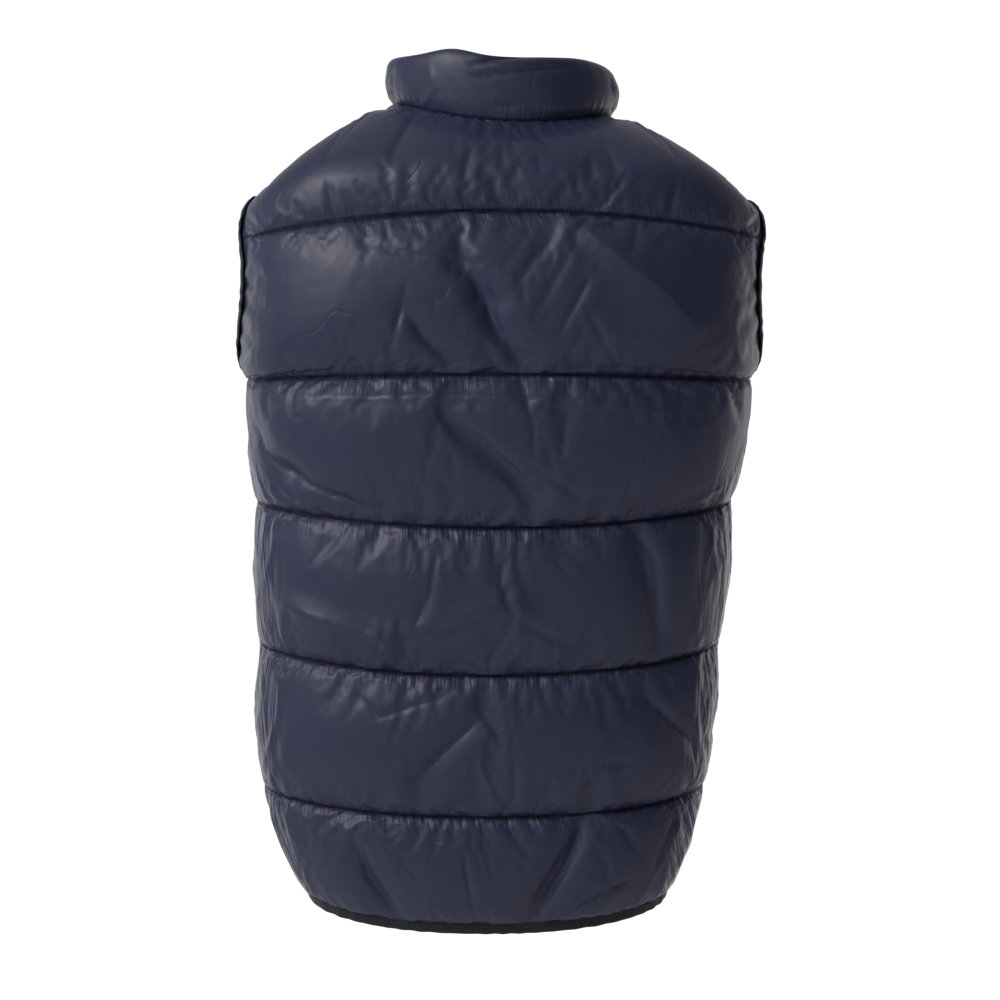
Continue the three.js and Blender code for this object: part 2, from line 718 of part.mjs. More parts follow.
function sliderPin() {
  const pin = new THREE.CylinderGeometry(PIN.radius, PIN.radius, 2 * PIN.earInner + PIN.earWidth, 12);
  pin.rotateZ(Math.PI / 2);
  pin.translate(sliderMiddle.x, pinY, pinZ);
  return pin;
}

addPiece('zip_slider', joined([sliderPlate(), sliderEar(1), sliderEar(-1), sliderPin()]), DARK_METAL);

// Zip pull: a barrel round the pin and a tapered tab that hangs straight down from it
function pullBarrel() {
  const ring = new THREE.Shape();
  ring.absarc(0, 0, PULL.barrel, 0, 2 * Math.PI, false);
  const bore = new THREE.Path();
  bore.absarc(0, 0, PULL.bore, 0, 2 * Math.PI, true);
  ring.holes.push(bore);
  const barrel = slab(ring, 2 * PULL.barrelHalf, 16);
  barrel.rotateY(Math.PI / 2);
  barrel.translate(sliderMiddle.x - PULL.barrelHalf, pinY, pinZ);
  return barrel;
}

function pullTab() {
  const tab = new THREE.Shape();
  const [w, length] = [PULL.halfWidth, PULL.length];
  const [neckEnd, shoulder] = [PULL_NECK.top + PULL_NECK.end, PULL_NECK.top + PULL_NECK.shoulder];
  tab.moveTo(-PULL.barrelHalf, -PULL_NECK.top);
  tab.lineTo(-PULL.barrelHalf, -neckEnd);
  tab.lineTo(-w, -shoulder);
  tab.lineTo(-w * 0.85, -length + w);
  tab.quadraticCurveTo(-w * 0.8, -length, 0, -length);
  tab.quadraticCurveTo(w * 0.8, -length, w * 0.85, -length + w);
  tab.lineTo(w, -shoulder);
  tab.lineTo(PULL.barrelHalf, -neckEnd);
  tab.lineTo(PULL.barrelHalf, -PULL_NECK.top);
  const slot = new THREE.Path();
  const slotMiddle = -length + PULL_SLOT.fromEnd;
  slot.absellipse(0, slotMiddle, PULL_SLOT.halfWidth, PULL_SLOT.halfLength, 0, 2 * Math.PI, true);
  tab.holes.push(slot);
  const plate = slab(tab, PULL.thickness, 8);
  plate.rotateX(Math.PI / 2);
  plate.translate(sliderMiddle.x, pinY + PULL.thickness / 2, pinZ);
  return plate;
}

addPiece('zip_pull', joined([pullBarrel(), pullTab()]), DARK_METAL);

export default group;
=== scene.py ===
import bmesh
import bpy
import numpy as np
from mathutils import Matrix


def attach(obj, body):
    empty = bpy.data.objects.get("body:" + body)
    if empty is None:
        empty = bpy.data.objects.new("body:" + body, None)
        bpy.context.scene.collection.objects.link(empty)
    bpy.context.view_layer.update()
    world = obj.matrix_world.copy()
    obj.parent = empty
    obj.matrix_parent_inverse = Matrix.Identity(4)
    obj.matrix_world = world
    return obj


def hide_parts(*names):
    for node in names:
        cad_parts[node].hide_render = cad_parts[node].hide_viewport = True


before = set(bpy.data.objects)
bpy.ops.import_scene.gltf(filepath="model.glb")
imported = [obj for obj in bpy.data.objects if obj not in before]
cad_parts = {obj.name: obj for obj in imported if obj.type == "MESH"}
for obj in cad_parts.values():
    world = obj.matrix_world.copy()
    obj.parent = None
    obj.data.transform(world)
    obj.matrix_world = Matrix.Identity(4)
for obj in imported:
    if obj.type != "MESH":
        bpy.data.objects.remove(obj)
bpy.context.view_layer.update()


# The body's form
# A padded vest's back and fronts are cut flat and sewn together at the sides and shoulders, and the
# wearer's body, or a form in its place, rounds them out. Every panel below lies on this one surface.
# Sizes are millimetres here: +Z up, the back faces +Y and the wearer's left is at +X.

MM = 0.001
LINE_NAMES = "z_back z_side z_front half side back front power lean loft".split()
LINES = np.array([  # one row for each quilting line, from the hem up
    [-731, -722, -724, 169, -4, 94, -102, 2.4, 14, 15],
    [-630, -621, -628, 204, -4, 104, -116, 2.4, 17, 15],
    [-502, -487, -498, 212, -4, 106, -121, 2.4, 12, 16],
    [-370, -355, -368, 217, -4, 114, -124, 2.45, 7, 16],
    [-237, -243, -240, 228, -4, 125, -130, 2.6, 3, 17],
    [-98, -119, -102, 234, -4, 114, -116, 2.9, 0, 12],
])
TOP_LINE = len(LINES) - 1
TOP_EDGE = TOP_LINE + 1
SEAM_LAP = 0.1                  # how far a panel reaches into its neighbour's seam
FRONT_OPENING = 11              # space between the two fronts
NECK_HALF_WIDTH, NECK_BACK, NECK_FRONT = 95, 75, 88
NECK_BACK_DROP, NECK_FRONT_DROP, NECK_TILT = 17, 62, 5
SHOULDER_TIP = (226, -4, -84)
TIP_TILT = 0.35
ARM_MIDDLE, ARM_HALF_HEIGHT, ARM_BACK, ARM_FRONT, ARM_FLARE = -161, 74, 60, 72, 11
NECK_SIDE = 0.62                # how far across a panel the shoulder seam meets the neck
TOP_FULLNESS = 1.15
TOP_DIRECTION = np.array([      # how far across, then inward, over the shoulder and up
    [0, 0, 1, 0.05],
    [0.35, 0.05, 1, 0],
    [0.62, 0.55, 0.75, 0.3],
    [0.8, 0.3, 0.65, 0.65],
    [1, 0, 0.65, 0.75],
])


def mix(a, b, share):
    return a + (b - a) * share


def smooth_step(value, low, high):
    """0 below low, 1 above high, and 3s^2 - 2s^3 between them."""
    share = np.clip((value - low) / (high - low), 0, 1)
    return share * share * (3 - 2 * share)


def unit(vectors):
    return vectors / np.maximum(np.linalg.norm(vectors, axis=-1, keepdims=True), 1e-12)


def xyz(x, y, z):
    return np.stack(np.broadcast_arrays(x, y, z), axis=-1).astype(float)


def cubic_through(rows, places):
    """A smooth curve through a table's rows, at places counted in rows: each stretch is a cubic whose ends
    run parallel to the line between the rows on both sides."""
    last = len(rows) - 1
    index = np.clip(np.floor(places), 0, last - 1).astype(int)
    t = (places - index)[..., None]
    before, start, end, after = (rows[np.clip(index + step, 0, last)] for step in (-1, 0, 1, 2))
    leaving, arriving = (end - before) / 2, (after - start) / 2
    twist = 2 * (start - end) + leaving + arriving
    return start + t * (leaving + t * (3 * (end - start) - 2 * leaving - arriving + t * twist))


def line_values(up):
    """Each column of LINES at a place up the body."""
    values = cubic_through(LINES, up)
    return {name: values[..., i] for i, name in enumerate(LINE_NAMES)}


def body_point(across, up, face, side):
    """A point of the round body: a rounded-rectangle section, |x/half|^power + |y/depth|^power = 1, at an
    angle that runs from the side seam or the armhole's oval edge to the centre."""
    row = line_values(up)
    oval = 1 - ((row["z_side"] - ARM_MIDDLE) / ARM_HALF_HEIGHT) ** 2
    is_open = (row["z_side"] > ARM_MIDDLE - ARM_HALF_HEIGHT) & (oval > 0)
    oval = np.maximum(oval, 0)
    deepest = row["back"] if face > 0 else row["front"]
    arm_depth = ARM_BACK if face > 0 else ARM_FRONT
    reach = np.abs(deepest - row["side"])
    start = np.where(is_open, np.arcsin((arm_depth * np.sqrt(oval) / reach) ** (row["power"] / 2)), 0)
    end = np.pi / 2 if face > 0 else np.arccos((FRONT_OPENING / 2 / row["half"]) ** (row["power"] / 2))
    angle = mix(start, end, across)
    wide = np.maximum(np.cos(angle), 0) ** (2 / row["power"])
    deep = np.sin(angle) ** (2 / row["power"])
    from_underarm = (row["z_side"] - ARM_MIDDLE) / ARM_HALF_HEIGHT + 1
    flare = ARM_FLARE * np.sqrt(oval) * np.maximum(1 - from_underarm / 2, 0)
    return xyz(
        row["lean"] + side * (row["half"] + flare) * wide,
        row["side"] + (deepest - row["side"]) * deep,
        mix(row["z_back"] if face > 0 else row["z_front"], row["z_side"], wide ** 2),
    )


def neck_point(angle, face, side):
    """The neck seam: an oval that drops with the square of the sine towards the back and front."""
    depth = NECK_BACK if face > 0 else -NECK_FRONT
    drop = NECK_BACK_DROP if face > 0 else NECK_FRONT_DROP
    return xyz(
        side * NECK_HALF_WIDTH * np.cos(angle),
        depth * np.sin(angle),
        -drop * np.sin(angle) ** 2 + side * NECK_TILT * np.cos(angle),
    )


def neck_outward(angle, face, side):
    depth = NECK_BACK if face > 0 else -NECK_FRONT
    return unit(xyz(side * np.cos(angle) / NECK_HALF_WIDTH, np.sin(angle) / depth, 0 * angle))


def neck_angle(across, face):
    last = np.pi / 2 if face > 0 else np.arccos(FRONT_OPENING / 2 / NECK_HALF_WIDTH)
    return last * (across - NECK_SIDE) / (1 - NECK_SIDE)


def top_edge_point(across, face, side):
    """Straight along the shoulder seam as far as the neck, then round the neck seam."""
    share = np.minimum(across / NECK_SIDE, 1)
    shoulder = xyz(
        side * mix(SHOULDER_TIP[0], NECK_HALF_WIDTH, share),
        mix(SHOULDER_TIP[1], 0, share),
        mix(SHOULDER_TIP[2], 0, share) + side * NECK_TILT * mix(TIP_TILT, 1, share),
    )
    neck = neck_point(neck_angle(np.maximum(across, NECK_SIDE), face), face, side)
    return np.where((across >= NECK_SIDE)[..., None], neck, shoulder)


def yoke_point(across, t, face, side):
    """Above the top quilting line the cloth turns over the shoulder on one cubic to its top edge."""
    line = np.full_like(across, TOP_LINE)
    start = body_point(across, line, face, side)
    end = top_edge_point(across, face, side)
    length = np.linalg.norm(end - start, axis=-1, keepdims=True) * TOP_FULLNESS
    start_pull = unit(start - body_point(across, line - 0.02, face, side)) * length
    inward, over, up = (np.interp(across, TOP_DIRECTION[:, 0], TOP_DIRECTION[:, k]) for k in (1, 2, 3))
    end_pull = unit(xyz(-side * inward, -face * over, up)) * length
    t = t[..., None]
    back = t - 1
    return (start * (1 + 2 * t) * back * back + start_pull * t * back * back
            + end * t * t * (3 - 2 * t) + end_pull * t * t * back)


def panel_point(across, up, face, side):
    across, up, side = np.broadcast_arrays(across, up, side)
    across, up = across.astype(float), up.astype(float)
    body = body_point(across, np.minimum(up, TOP_LINE), face, side)
    yoke = yoke_point(across, np.clip(up - TOP_LINE, 0, 1), face, side)
    points = np.where((up > TOP_LINE)[..., None], yoke, body)
    points[..., 1] -= face * SEAM_LAP / 2
    return points


# The quilted panels
# Each is a shell of shiny navy nylon over a loose sheet of polyester filling and a plain inner cloth,
# quilted together along five lines. The shell is cut fuller than the inner cloth, so it stands up between
# the lines in flat-topped channels and puckers where the stitches hold it.

SEAM_WALL = 3                   # both layers where they are sewn together
EDGE_RISE, SIDE_SHARE, SIDE_RISE = 38, 0.28, 125
ZIP_RISE, NECK_RISE, SHOULDER_SHARE, DOME_POWER = 24, 32, 0.25, 0.55
ROWS_A_CHANNEL = 60
BACK_COLUMNS, FRONT_COLUMNS = 240, 120
INNER_STEP = 4                  # the plain inner side has a point for each fourth of the shell's
FOLDS = np.array([              # the back's largest folds: x and z of both ends, width and height
    [-65, -109, -159, -196, 15, 4],
    [34, -145, 7, -176, 13, -5],
    [18, -176, -20, -231, 14, -6],
    [80, -186, 36, -234, 13, -4],
    [178, -258, -130, -264, 13, 4],
    [208, -290, 180, -322, 14, -6],
    [180, -322, 107, -357, 14, -6],
    [46, -272, -26, -338, 14, -5],
    [180, -443, 99, -470, 15, 6],
    [99, -470, -10, -440, 15, 5],
    [-117, -377, -133, -469, 14, -5],
    [19, -540, 72, -594, 14, -5],
    [-124, -526, -169, -574, 14, -5],
    [-75, -632, -25, -722, 15, -8],
    [125, -666, 90, -724, 14, -6],
])

# Creases of the back's shell: depth and width in millimetres, negative for a ridge, then x, z of each point
BACK_CREASES = [
    (1.2, 4, [(133, -35), (119, -45)]),
    (1.6, 3.5, [(121, -123), (85, -136), (34, -143), (2, -147), (-16, -153), (-56, -145)]),
    (1.6, 3.5, [(48, -146), (26, -156), (8, -175)]),
    (2.6, 3.5, [(18, -175), (2, -201), (-20, -229)]),
    (-1.6, 6, [(-64, -110), (-101, -143), (-138, -170), (-157, -195)]),
    (2.0, 4, [(-74, -155), (-51, -197), (-43, -206)]),
    (1.6, 4, [(-72, -185), (-90, -218), (-101, -234)]),
    (2.2, 4, [(79, -185), (66, -206), (35, -233)]),
    (1.8, 4, [(79, -162), (91, -206), (96, -228)]),
    (0.8, 3, [(162, -229), (100, -222), (45, -220), (-86, -219)]),
    (-1.6, 7, [(177, -256), (45, -254), (-44, -258), (-129, -264), (-209, -267)]),
    (3.0, 5, [(208, -285), (204, -303), (185, -319), (145, -340), (107, -355)]),
    (2.4, 4, [(45, -270), (15, -293), (-8, -316), (-26, -335)]),
    (1.8, 4, [(-16, -238), (-20, -255), (-26, -281), (-27, -306)]),
    (2.0, 4, [(-18, -307), (-35, -321), (-63, -338)]),
    (1.8, 4, [(-131, -245), (-182, -261)]),
    (-1.4, 5, [(-134, -361), (-175, -344), (-198, -329)]),
    (2.4, 4, [(56, -391), (61, -426), (75, -458)]),
    (-2.0, 8, [(180, -441), (143, -454), (99, -468)]),
    (2.6, 5, [(99, -468), (42, -459), (2, -447), (-10, -438)]),
    (2.2, 4, [(-10, -445), (-42, -466), (-69, -475)]),
    (2.4, 4, [(-116, -375), (-130, -398), (-133, -440), (-133, -467)]),
    (2.0, 4, [(82, -475), (78, -496), (71, -521)]),
    (2.2, 4, [(126, -518), (106, -538), (69, -525), (54, -521)]),
    (2.4, 4, [(19, -538), (50, -567), (73, -593)]),
    (2.4, 4, [(-123, -524), (-143, -546), (-169, -573)]),
    (2.0, 4, [(-66, -607), (-89, -580), (-114, -580)]),
    (1.8, 4, [(-11, -572), (-11, -606), (-4, -621)]),
    (1.8, 4, [(142, -616), (141, -657)]),
    (2.4, 4, [(125, -662), (115, -687), (90, -722)]),
    (1.8, 4, [(33, -655), (32, -672), (24, -718)]),
    (3.2, 5, [(-75, -629), (-54, -678), (-33, -715), (-25, -720)]),
    (2.0, 4, [(-153, -635), (-140, -659), (-128, -687)]),
    (2.0, 4, [(-108, -687), (-70, -706), (-56, -718)]),
]

# Similar creases on the fronts, which the photograph doesn't show
LEFT_CREASES = [
    (1.8, 4, [(60, -128), (84, -142), (118, -150), (150, -146)]),
    (2.2, 4, [(40, -168), (62, -196), (78, -228)]),
    (1.8, 4, [(150, -160), (128, -192), (120, -226)]),
    (2.6, 5, [(186, -262), (170, -290), (136, -318), (96, -340)]),
    (2.0, 4, [(34, -258), (52, -288), (58, -322)]),
    (2.2, 4, [(110, -252), (96, -274), (70, -290)]),
    (2.4, 4, [(176, -386), (150, -412), (132, -452)]),
    (-1.6, 7, [(30, -400), (74, -410), (118, -398)]),
    (2.0, 4, [(48, -424), (62, -452), (60, -484)]),
    (2.4, 4, [(40, -520), (68, -548), (82, -590)]),
    (2.0, 4, [(150, -512), (124, -540), (116, -576)]),
    (2.6, 5, [(44, -640), (58, -676), (50, -712)]),
    (2.0, 4, [(128, -640), (112, -668), (100, -708)]),
]
RIGHT_CREASES = [
    (2.2, 4, [(-44, -132), (-70, -156), (-108, -168)]),
    (1.8, 4, [(-150, -140), (-132, -176), (-136, -214)]),
    (2.2, 4, [(-36, -186), (-52, -212), (-50, -232)]),
    (2.4, 4, [(-52, -252), (-82, -282), (-96, -322)]),
    (-1.6, 6, [(-186, -268), (-150, -274), (-104, -264)]),
    (2.2, 4, [(-178, -296), (-150, -320), (-140, -348)]),
    (2.6, 5, [(-30, -392), (-58, -420), (-104, -436), (-142, -470)]),
    (1.8, 4, [(-174, -378), (-160, -404), (-166, -434)]),
    (2.2, 4, [(-30, -516), (-54, -536), (-62, -574)]),
    (2.2, 4, [(-92, -518), (-116, -552), (-112, -600)]),
    (2.8, 5, [(-110, -640), (-84, -672), (-74, -714)]),
    (2.0, 4, [(-26, -648), (-32, -682), (-22, -714)]),
]


def smooth_noise(places, seed):
    """Smooth random numbers from -1 to 1, one for each unit of length, joined by smooth steps."""
    values = np.random.default_rng(seed).uniform(-1, 1, 4096)
    index = np.floor(places).astype(int)
    share = places - index
    share = share * share * (3 - 2 * share)
    return mix(values[index % 4096], values[(index + 1) % 4096], share)


PUCKERS = [(6, 6, 0.8), (11, 13, 1.3), (27, 30, 1.7)]   # spacing, reach from the seam, height
PUCKER_LEAN, PUCKER_SHARPNESS, UNEVEN_LENGTH = 0.012, 0.7, 61


def gathers(distance, along, seed):
    """Puckers that stand square to a seam: round ridges with sharp troughs between them, fine beside the
    seam, wider and softer further from it, and uneven along it."""
    height = 0
    for k, (spacing, reach, size) in enumerate(PUCKERS):
        wave = np.abs(smooth_noise(along / spacing + distance * PUCKER_LEAN * (k - 1), seed + k))
        uneven = 0.65 + 0.55 * smooth_noise(along / UNEVEN_LENGTH + 7 * k, seed + 9)
        height = height + size * uneven * np.exp(-distance / reach) * (wave ** PUCKER_SHARPNESS - 0.62)
    return height * (1 - np.exp(-distance / 1.5))


def crease_height(x, z, depth, width, path):
    """A pinched crease along a path: a sharp narrow trough in the middle of its width, a soft shoulder on
    one side, fading at both ends."""
    nearest = np.full(x.shape, 1e9)
    beside = np.zeros(x.shape)
    along = np.zeros(x.shape)
    done = 0
    for (ax, az), (bx, bz) in zip(path, path[1:]):
        length = np.hypot(bx - ax, bz - az)
        ux, uz = (bx - ax) / length, (bz - az) / length
        reach = np.clip((x - ax) * ux + (z - az) * uz, 0, length)
        dx, dz = x - ax - reach * ux, z - az - reach * uz
        distance = np.hypot(dx, dz)
        closer = distance < nearest
        nearest = np.where(closer, distance, nearest)
        beside = np.where(closer, dx * uz - dz * ux, beside)
        along = np.where(closer, done + reach, along)
        done += length
    fade = smooth_step(along, -0.1 * done, 0.25 * done) * smooth_step(done - along, -0.1 * done, 0.3 * done)
    trough = 1.1 * np.exp(-(nearest / (0.5 * width)) ** 1.4)
    shoulder = np.exp(-((beside - 2.4 * width) / (1.9 * width)) ** 2) * (nearest < 8 * width)
    return -depth * fade * (trough - 0.38 * shoulder)


def smooth_noise_2d(u, v, seed):
    """Smooth random numbers from -1 to 1 on a square lattice, joined both ways by smooth steps."""
    values = np.random.default_rng(seed).uniform(-1, 1, (256, 256))
    u0, v0 = np.floor(u).astype(int), np.floor(v).astype(int)
    su, sv = smooth_step(u - u0, 0, 1), smooth_step(v - v0, 0, 1)
    low = mix(values[u0 % 256, v0 % 256], values[(u0 + 1) % 256, v0 % 256], su)
    high = mix(values[u0 % 256, (v0 + 1) % 256], values[(u0 + 1) % 256, (v0 + 1) % 256], su)
    return mix(low, high, sv)


SIDE_FAMILIES = [(0.22, 12, 70, 1.9), (-0.34, 17, 85, 2.3)]     # lean, width, length, height
SIDE_START, SIDE_END = (3, 16), (62, 108)       # from the side seam, where they rise and where they fade


def side_wrinkles(from_side, up_run, seed):
    """Long wrinkles beside the side seams, where the cloth turns the corner of the body: two families of
    sharp ridges that lean opposite ways and cross."""
    drifted = from_side + 10 * smooth_noise_2d(from_side / 50, up_run / 60, seed)
    height = 0
    for k, (lean, width, length, size) in enumerate(SIDE_FAMILIES, 1):
        ridge = np.abs(smooth_noise_2d((drifted + lean * up_run) / width, up_run / length, seed + k))
        height = height + size * (0.32 - ridge ** 0.8)
    return height * smooth_step(from_side, *SIDE_START) * (1 - smooth_step(from_side, *SIDE_END))


def rise(distance, width):
    left = 1 - np.minimum(distance / width, 1)
    return (1 - left * left) ** DOME_POWER


def panel_normals(points, top):
    """Square to the grid, except along the top edge, where the panels turn to meet their neighbours."""
    across_way, up_way = np.gradient(points, axis=1), np.gradient(points, axis=0)
    normals = unit(np.cross(across_way, up_way))
    normals[-1] = top
    return normals


def lengths(points, axis):
    """Running length along a grid's rows or columns."""
    steps = np.linalg.norm(np.diff(points, axis=axis), axis=-1)
    start = np.zeros_like(np.take(steps, [0], axis=axis))
    return np.cumsum(np.concatenate([start, steps], axis=axis), axis=axis)


def even_columns(count, face):
    """Places across a panel that are the same length apart, on average over its height."""
    fine = np.linspace(0, 1, 801)
    heights = np.array([0.5, 1.5, 2.5, 3.5, 4.5, 5.3])[:, None]
    run = lengths(panel_point(fine[None, :], heights, face, 1), 1)
    share = (run / run[:, -1:]).mean(axis=0)
    return np.interp(np.linspace(0, 1, count + 1), share, fine)


def panel_rows():
    """Places up a panel, closest together beside the quilting lines."""
    even = np.arange(ROWS_A_CHANNEL) / ROWS_A_CHANNEL
    channel = even - 0.5 * np.sin(2 * np.pi * even) / (2 * np.pi)
    return np.append((np.arange(TOP_EDGE)[:, None] + channel).ravel(), TOP_EDGE)


def panel(face, side_of, columns):
    """The grid of one panel: places, points of the inner cloth, normals, and how far the filled shell
    stands off it."""
    across, up = np.meshgrid(columns, panel_rows())
    side = np.broadcast_to(side_of, across.shape)
    points = panel_point(across, up, face, side)
    neck = neck_outward(neck_angle(np.maximum(across[-1], NECK_SIDE), face), face, side[-1])
    shoulder = unit(xyz(-side[-1] * SHOULDER_TIP[2], 0, SHOULDER_TIP[0] - NECK_HALF_WIDTH))
    top = np.where((across[-1] >= NECK_SIDE)[:, None], neck, shoulder)
    normals = panel_normals(points, top)

    channel = np.minimum(np.floor(up), TOP_LINE)
    t = up - channel
    in_yoke = channel == TOP_LINE
    edge = panel_point(0 * across, up, face, side)
    from_side = np.linalg.norm(points - edge, axis=-1)
    from_neck = np.full(across.shape, np.inf)
    for angle in np.linspace(0, np.pi / 2, 13):
        gap = np.linalg.norm(points - neck_point(np.full(across.shape, angle), face, side), axis=-1)
        from_neck = np.minimum(from_neck, gap)
    filled = (np.maximum(4 * t * (1 - t), 0) ** DOME_POWER
              * rise(from_side, EDGE_RISE)
              * mix(SIDE_SHARE, 1, smooth_step(from_side, 0, SIDE_RISE))
              * np.where(in_yoke, np.minimum(from_neck / NECK_RISE, 1) * mix(1, SHOULDER_SHARE, t), 1))
    loft = LINES[channel.astype(int), LINE_NAMES.index("loft")]
    x, z = points[..., 0], points[..., 2]
    folded = 0
    if face > 0:
        for from_x, from_z, to_x, to_z, width, height in FOLDS:
            line = np.array([to_x - from_x, to_z - from_z])
            share = np.clip(((x - from_x) * line[0] + (z - from_z) * line[1]) / (line @ line), 0, 1)
            distance = np.hypot(x - from_x - share * line[0], z - from_z - share * line[1])
            folded = folded + height * np.exp(-((distance / width) ** 2))
    else:
        from_zip = np.linalg.norm(points - panel_point(0 * across + 1, up, face, side), axis=-1)
        filled = filled * rise(from_zip, ZIP_RISE)
    thickness = SEAM_WALL + filled * (loft + folded)
    return {
        "across": across, "up": up, "points": points, "normals": normals, "filled": filled,
        "thickness": thickness, "from_side": from_side, "t": t, "channel": channel,
    }


def grid_quads(index):
    """The quads between a grid's rows and columns of point numbers."""
    corners = index[:-1, :-1], index[:-1, 1:], index[1:, 1:], index[1:, :-1]
    return np.stack(corners, axis=-1).reshape(-1, 4)


def smooth_mesh(name, points, faces, cloth_places=None):
    """A smooth mesh of points in millimetres. Its UV map, if it has one, is the cloth's own length across
    and up at each point, in metres."""
    mesh = bpy.data.meshes.new(name)
    mesh.from_pydata((points.reshape(-1, 3) * MM).tolist(), [], faces)
    if cloth_places is not None:
        corners = np.empty(len(mesh.loops), dtype=np.int32)
        mesh.loops.foreach_get("vertex_index", corners)
        cloth_map = mesh.uv_layers.new(name="cloth")
        cloth_map.data.foreach_set("uv", (cloth_places[corners] * MM).astype(np.float32).ravel())
    mesh.polygons.foreach_set("use_smooth", np.ones(len(mesh.polygons), dtype=bool))
    mesh.update()
    return mesh


def in_scene(name, data):
    item = bpy.data.objects.new(name, data)
    bpy.context.scene.collection.objects.link(item)
    return item


def relax_cloth(name, start, pinned, growth=-0.05, pressure=2.5, frames=18):
    """Lets the shell find its own wrinkles: a cloth simulation of its grid, cut a little larger than the
    space between its seams, held at the seams and blown up gently. Gives the points' new places."""
    rows, columns = start.shape[:2]
    quads = grid_quads(np.arange(rows * columns).reshape(rows, columns))
    cloth_piece = in_scene(name, smooth_mesh(name, start, quads.tolist()))
    group = cloth_piece.vertex_groups.new(name="sewn")
    group.add(np.flatnonzero(pinned.ravel()).tolist(), 1.0, "REPLACE")
    cloth = cloth_piece.modifiers.new("shell", "CLOTH")
    settings = cloth.settings
    settings.quality = 5
    settings.mass = 0.1
    settings.tension_stiffness = settings.compression_stiffness = 12
    settings.shear_stiffness = 4
    settings.bending_stiffness = 0.02
    settings.tension_damping = settings.compression_damping = settings.shear_damping = 4
    settings.air_damping = 3
    settings.shrink_min = settings.shrink_max = growth
    settings.use_pressure = True
    settings.uniform_pressure_force = pressure
    settings.vertex_group_mass = "sewn"
    settings.effector_weights.gravity = 0
    cloth.collision_settings.use_collision = False
    cloth.point_cache.frame_start, cloth.point_cache.frame_end = 1, frames
    for number in range(1, frames + 1):
        bpy.context.scene.frame_set(number)
    shown = cloth_piece.evaluated_get(bpy.context.evaluated_depsgraph_get())
    moved = np.empty(rows * columns * 3)
    shown.data.vertices.foreach_get("co", moved)
    bpy.data.objects.remove(cloth_piece)
    bpy.context.scene.frame_set(1)
    return moved.reshape(rows, columns, 3) / MM


def blurred(field, reach):
    """A field of vectors averaged over its neighbours, along both ways of the grid."""
    offsets = np.arange(-3 * reach, 3 * reach + 1)
    weights = np.exp(-0.5 * (offsets / reach) ** 2)
    weights /= weights.sum()
    for axis in (0, 1):
        padded = np.pad(field, [(3 * reach, 3 * reach) if k == axis else (0, 0) for k in range(3)])
        count = field.shape[axis]
        field = sum(w * np.take(padded, np.arange(count) + i, axis=axis) for i, w in enumerate(weights))
    return field


def doubled(field):
    """Twice as many steps each way, on the smooth curve through the given points."""
    for axis in (0, 1):
        field = np.moveaxis(field, axis, 0)
        ends = np.concatenate([field[:1], field, field[-1:]])
        between = (9 * (ends[1:-2] + ends[2:-1]) - ends[:-3] - ends[3:]) / 16
        wider = np.empty((2 * len(field) - 1,) + field.shape[1:])
        wider[::2], wider[1::2] = field, between
        field = np.moveaxis(wider, 0, axis)
    return field


WRINKLE_CAP, WRINKLE_SHARE = 4.5, 0.5   # the most that a point moves, and how much of that is kept


def shell_wrinkles(name, grid, start):
    """The wrinkles alone: what the simulated shell has beyond its own soft average, no more than a cap."""
    coarse = start[::2, ::2]
    up = grid["up"][::2, ::2]
    pinned = np.isclose(up, np.round(up))
    pinned[:, [0, -1]] = True
    moved = relax_cloth(name, coarse, pinned) - coarse
    wrinkles = moved - 0.9 * blurred(moved, 6)
    size = np.linalg.norm(wrinkles, axis=-1, keepdims=True)
    wrinkles = wrinkles * np.minimum(1, WRINKLE_CAP / np.maximum(size, 1e-9))
    return WRINKLE_SHARE * doubled(wrinkles)


FAR_OFF = 300                   # stands for a place with no line or seam near it


def set_distances(mesh, from_seam, from_side):
    """Each point's distance from the nearest line or seam, and from the side seam, in metres, for the
    puckers and wrinkles that the material draws and for the shade that it paints into the seams."""
    for name, distances in (("from_seam", from_seam), ("from_side", from_side)):
        spread = mesh.attributes.new(name, "FLOAT", "POINT")
        spread.data.foreach_set("value", (distances * MM).astype(np.float32).ravel())


def shell_mesh(name, outer, inner, from_seam, from_side):
    """A closed wall: the shell's full grid, a plain inner grid with fewer points, and a rim between."""
    rows, columns = outer.shape[:2]
    plain = inner[::INNER_STEP, ::INNER_STEP]
    number = np.arange(rows * columns).reshape(rows, columns)
    plain_number = rows * columns + np.arange(plain.shape[0] * plain.shape[1]).reshape(plain.shape[:2])

    def border(index):
        return np.concatenate([index[0, :-1], index[:-1, -1], index[-1, :0:-1], index[:0:-1, 0]])

    fine, coarse = border(number), border(plain_number)
    starts = np.arange(len(coarse))
    steps = (starts[:, None] * INNER_STEP + np.arange(INNER_STEP, -1, -1)) % len(fine)
    rim = np.concatenate([fine[steps], coarse[:, None], np.roll(coarse, -1)[:, None]], axis=1)
    faces = grid_quads(number).tolist() + grid_quads(plain_number)[:, ::-1].tolist() + rim.tolist()
    run = np.stack([lengths(inner, 1), lengths(inner, 0)], axis=-1)
    places = np.concatenate([run.reshape(-1, 2), run[::INNER_STEP, ::INNER_STEP].reshape(-1, 2)])
    points = np.concatenate([outer.reshape(-1, 3), plain.reshape(-1, 3)])
    mesh = smooth_mesh(name, points, faces, places)
    far = np.full(plain_number.size, FAR_OFF)
    set_distances(mesh, np.append(from_seam, far), np.append(from_side, far))
    return mesh


def linear(hex_colour):
    """An sRGB hex colour as the linear RGBA that the shader takes."""
    parts = np.array([int(hex_colour[k:k + 2], 16) / 255 for k in (1, 3, 5)])
    parts = np.where(parts <= 0.04045, parts / 12.92, ((parts + 0.055) / 1.055) ** 2.4)
    return (*parts.tolist(), 1.0)


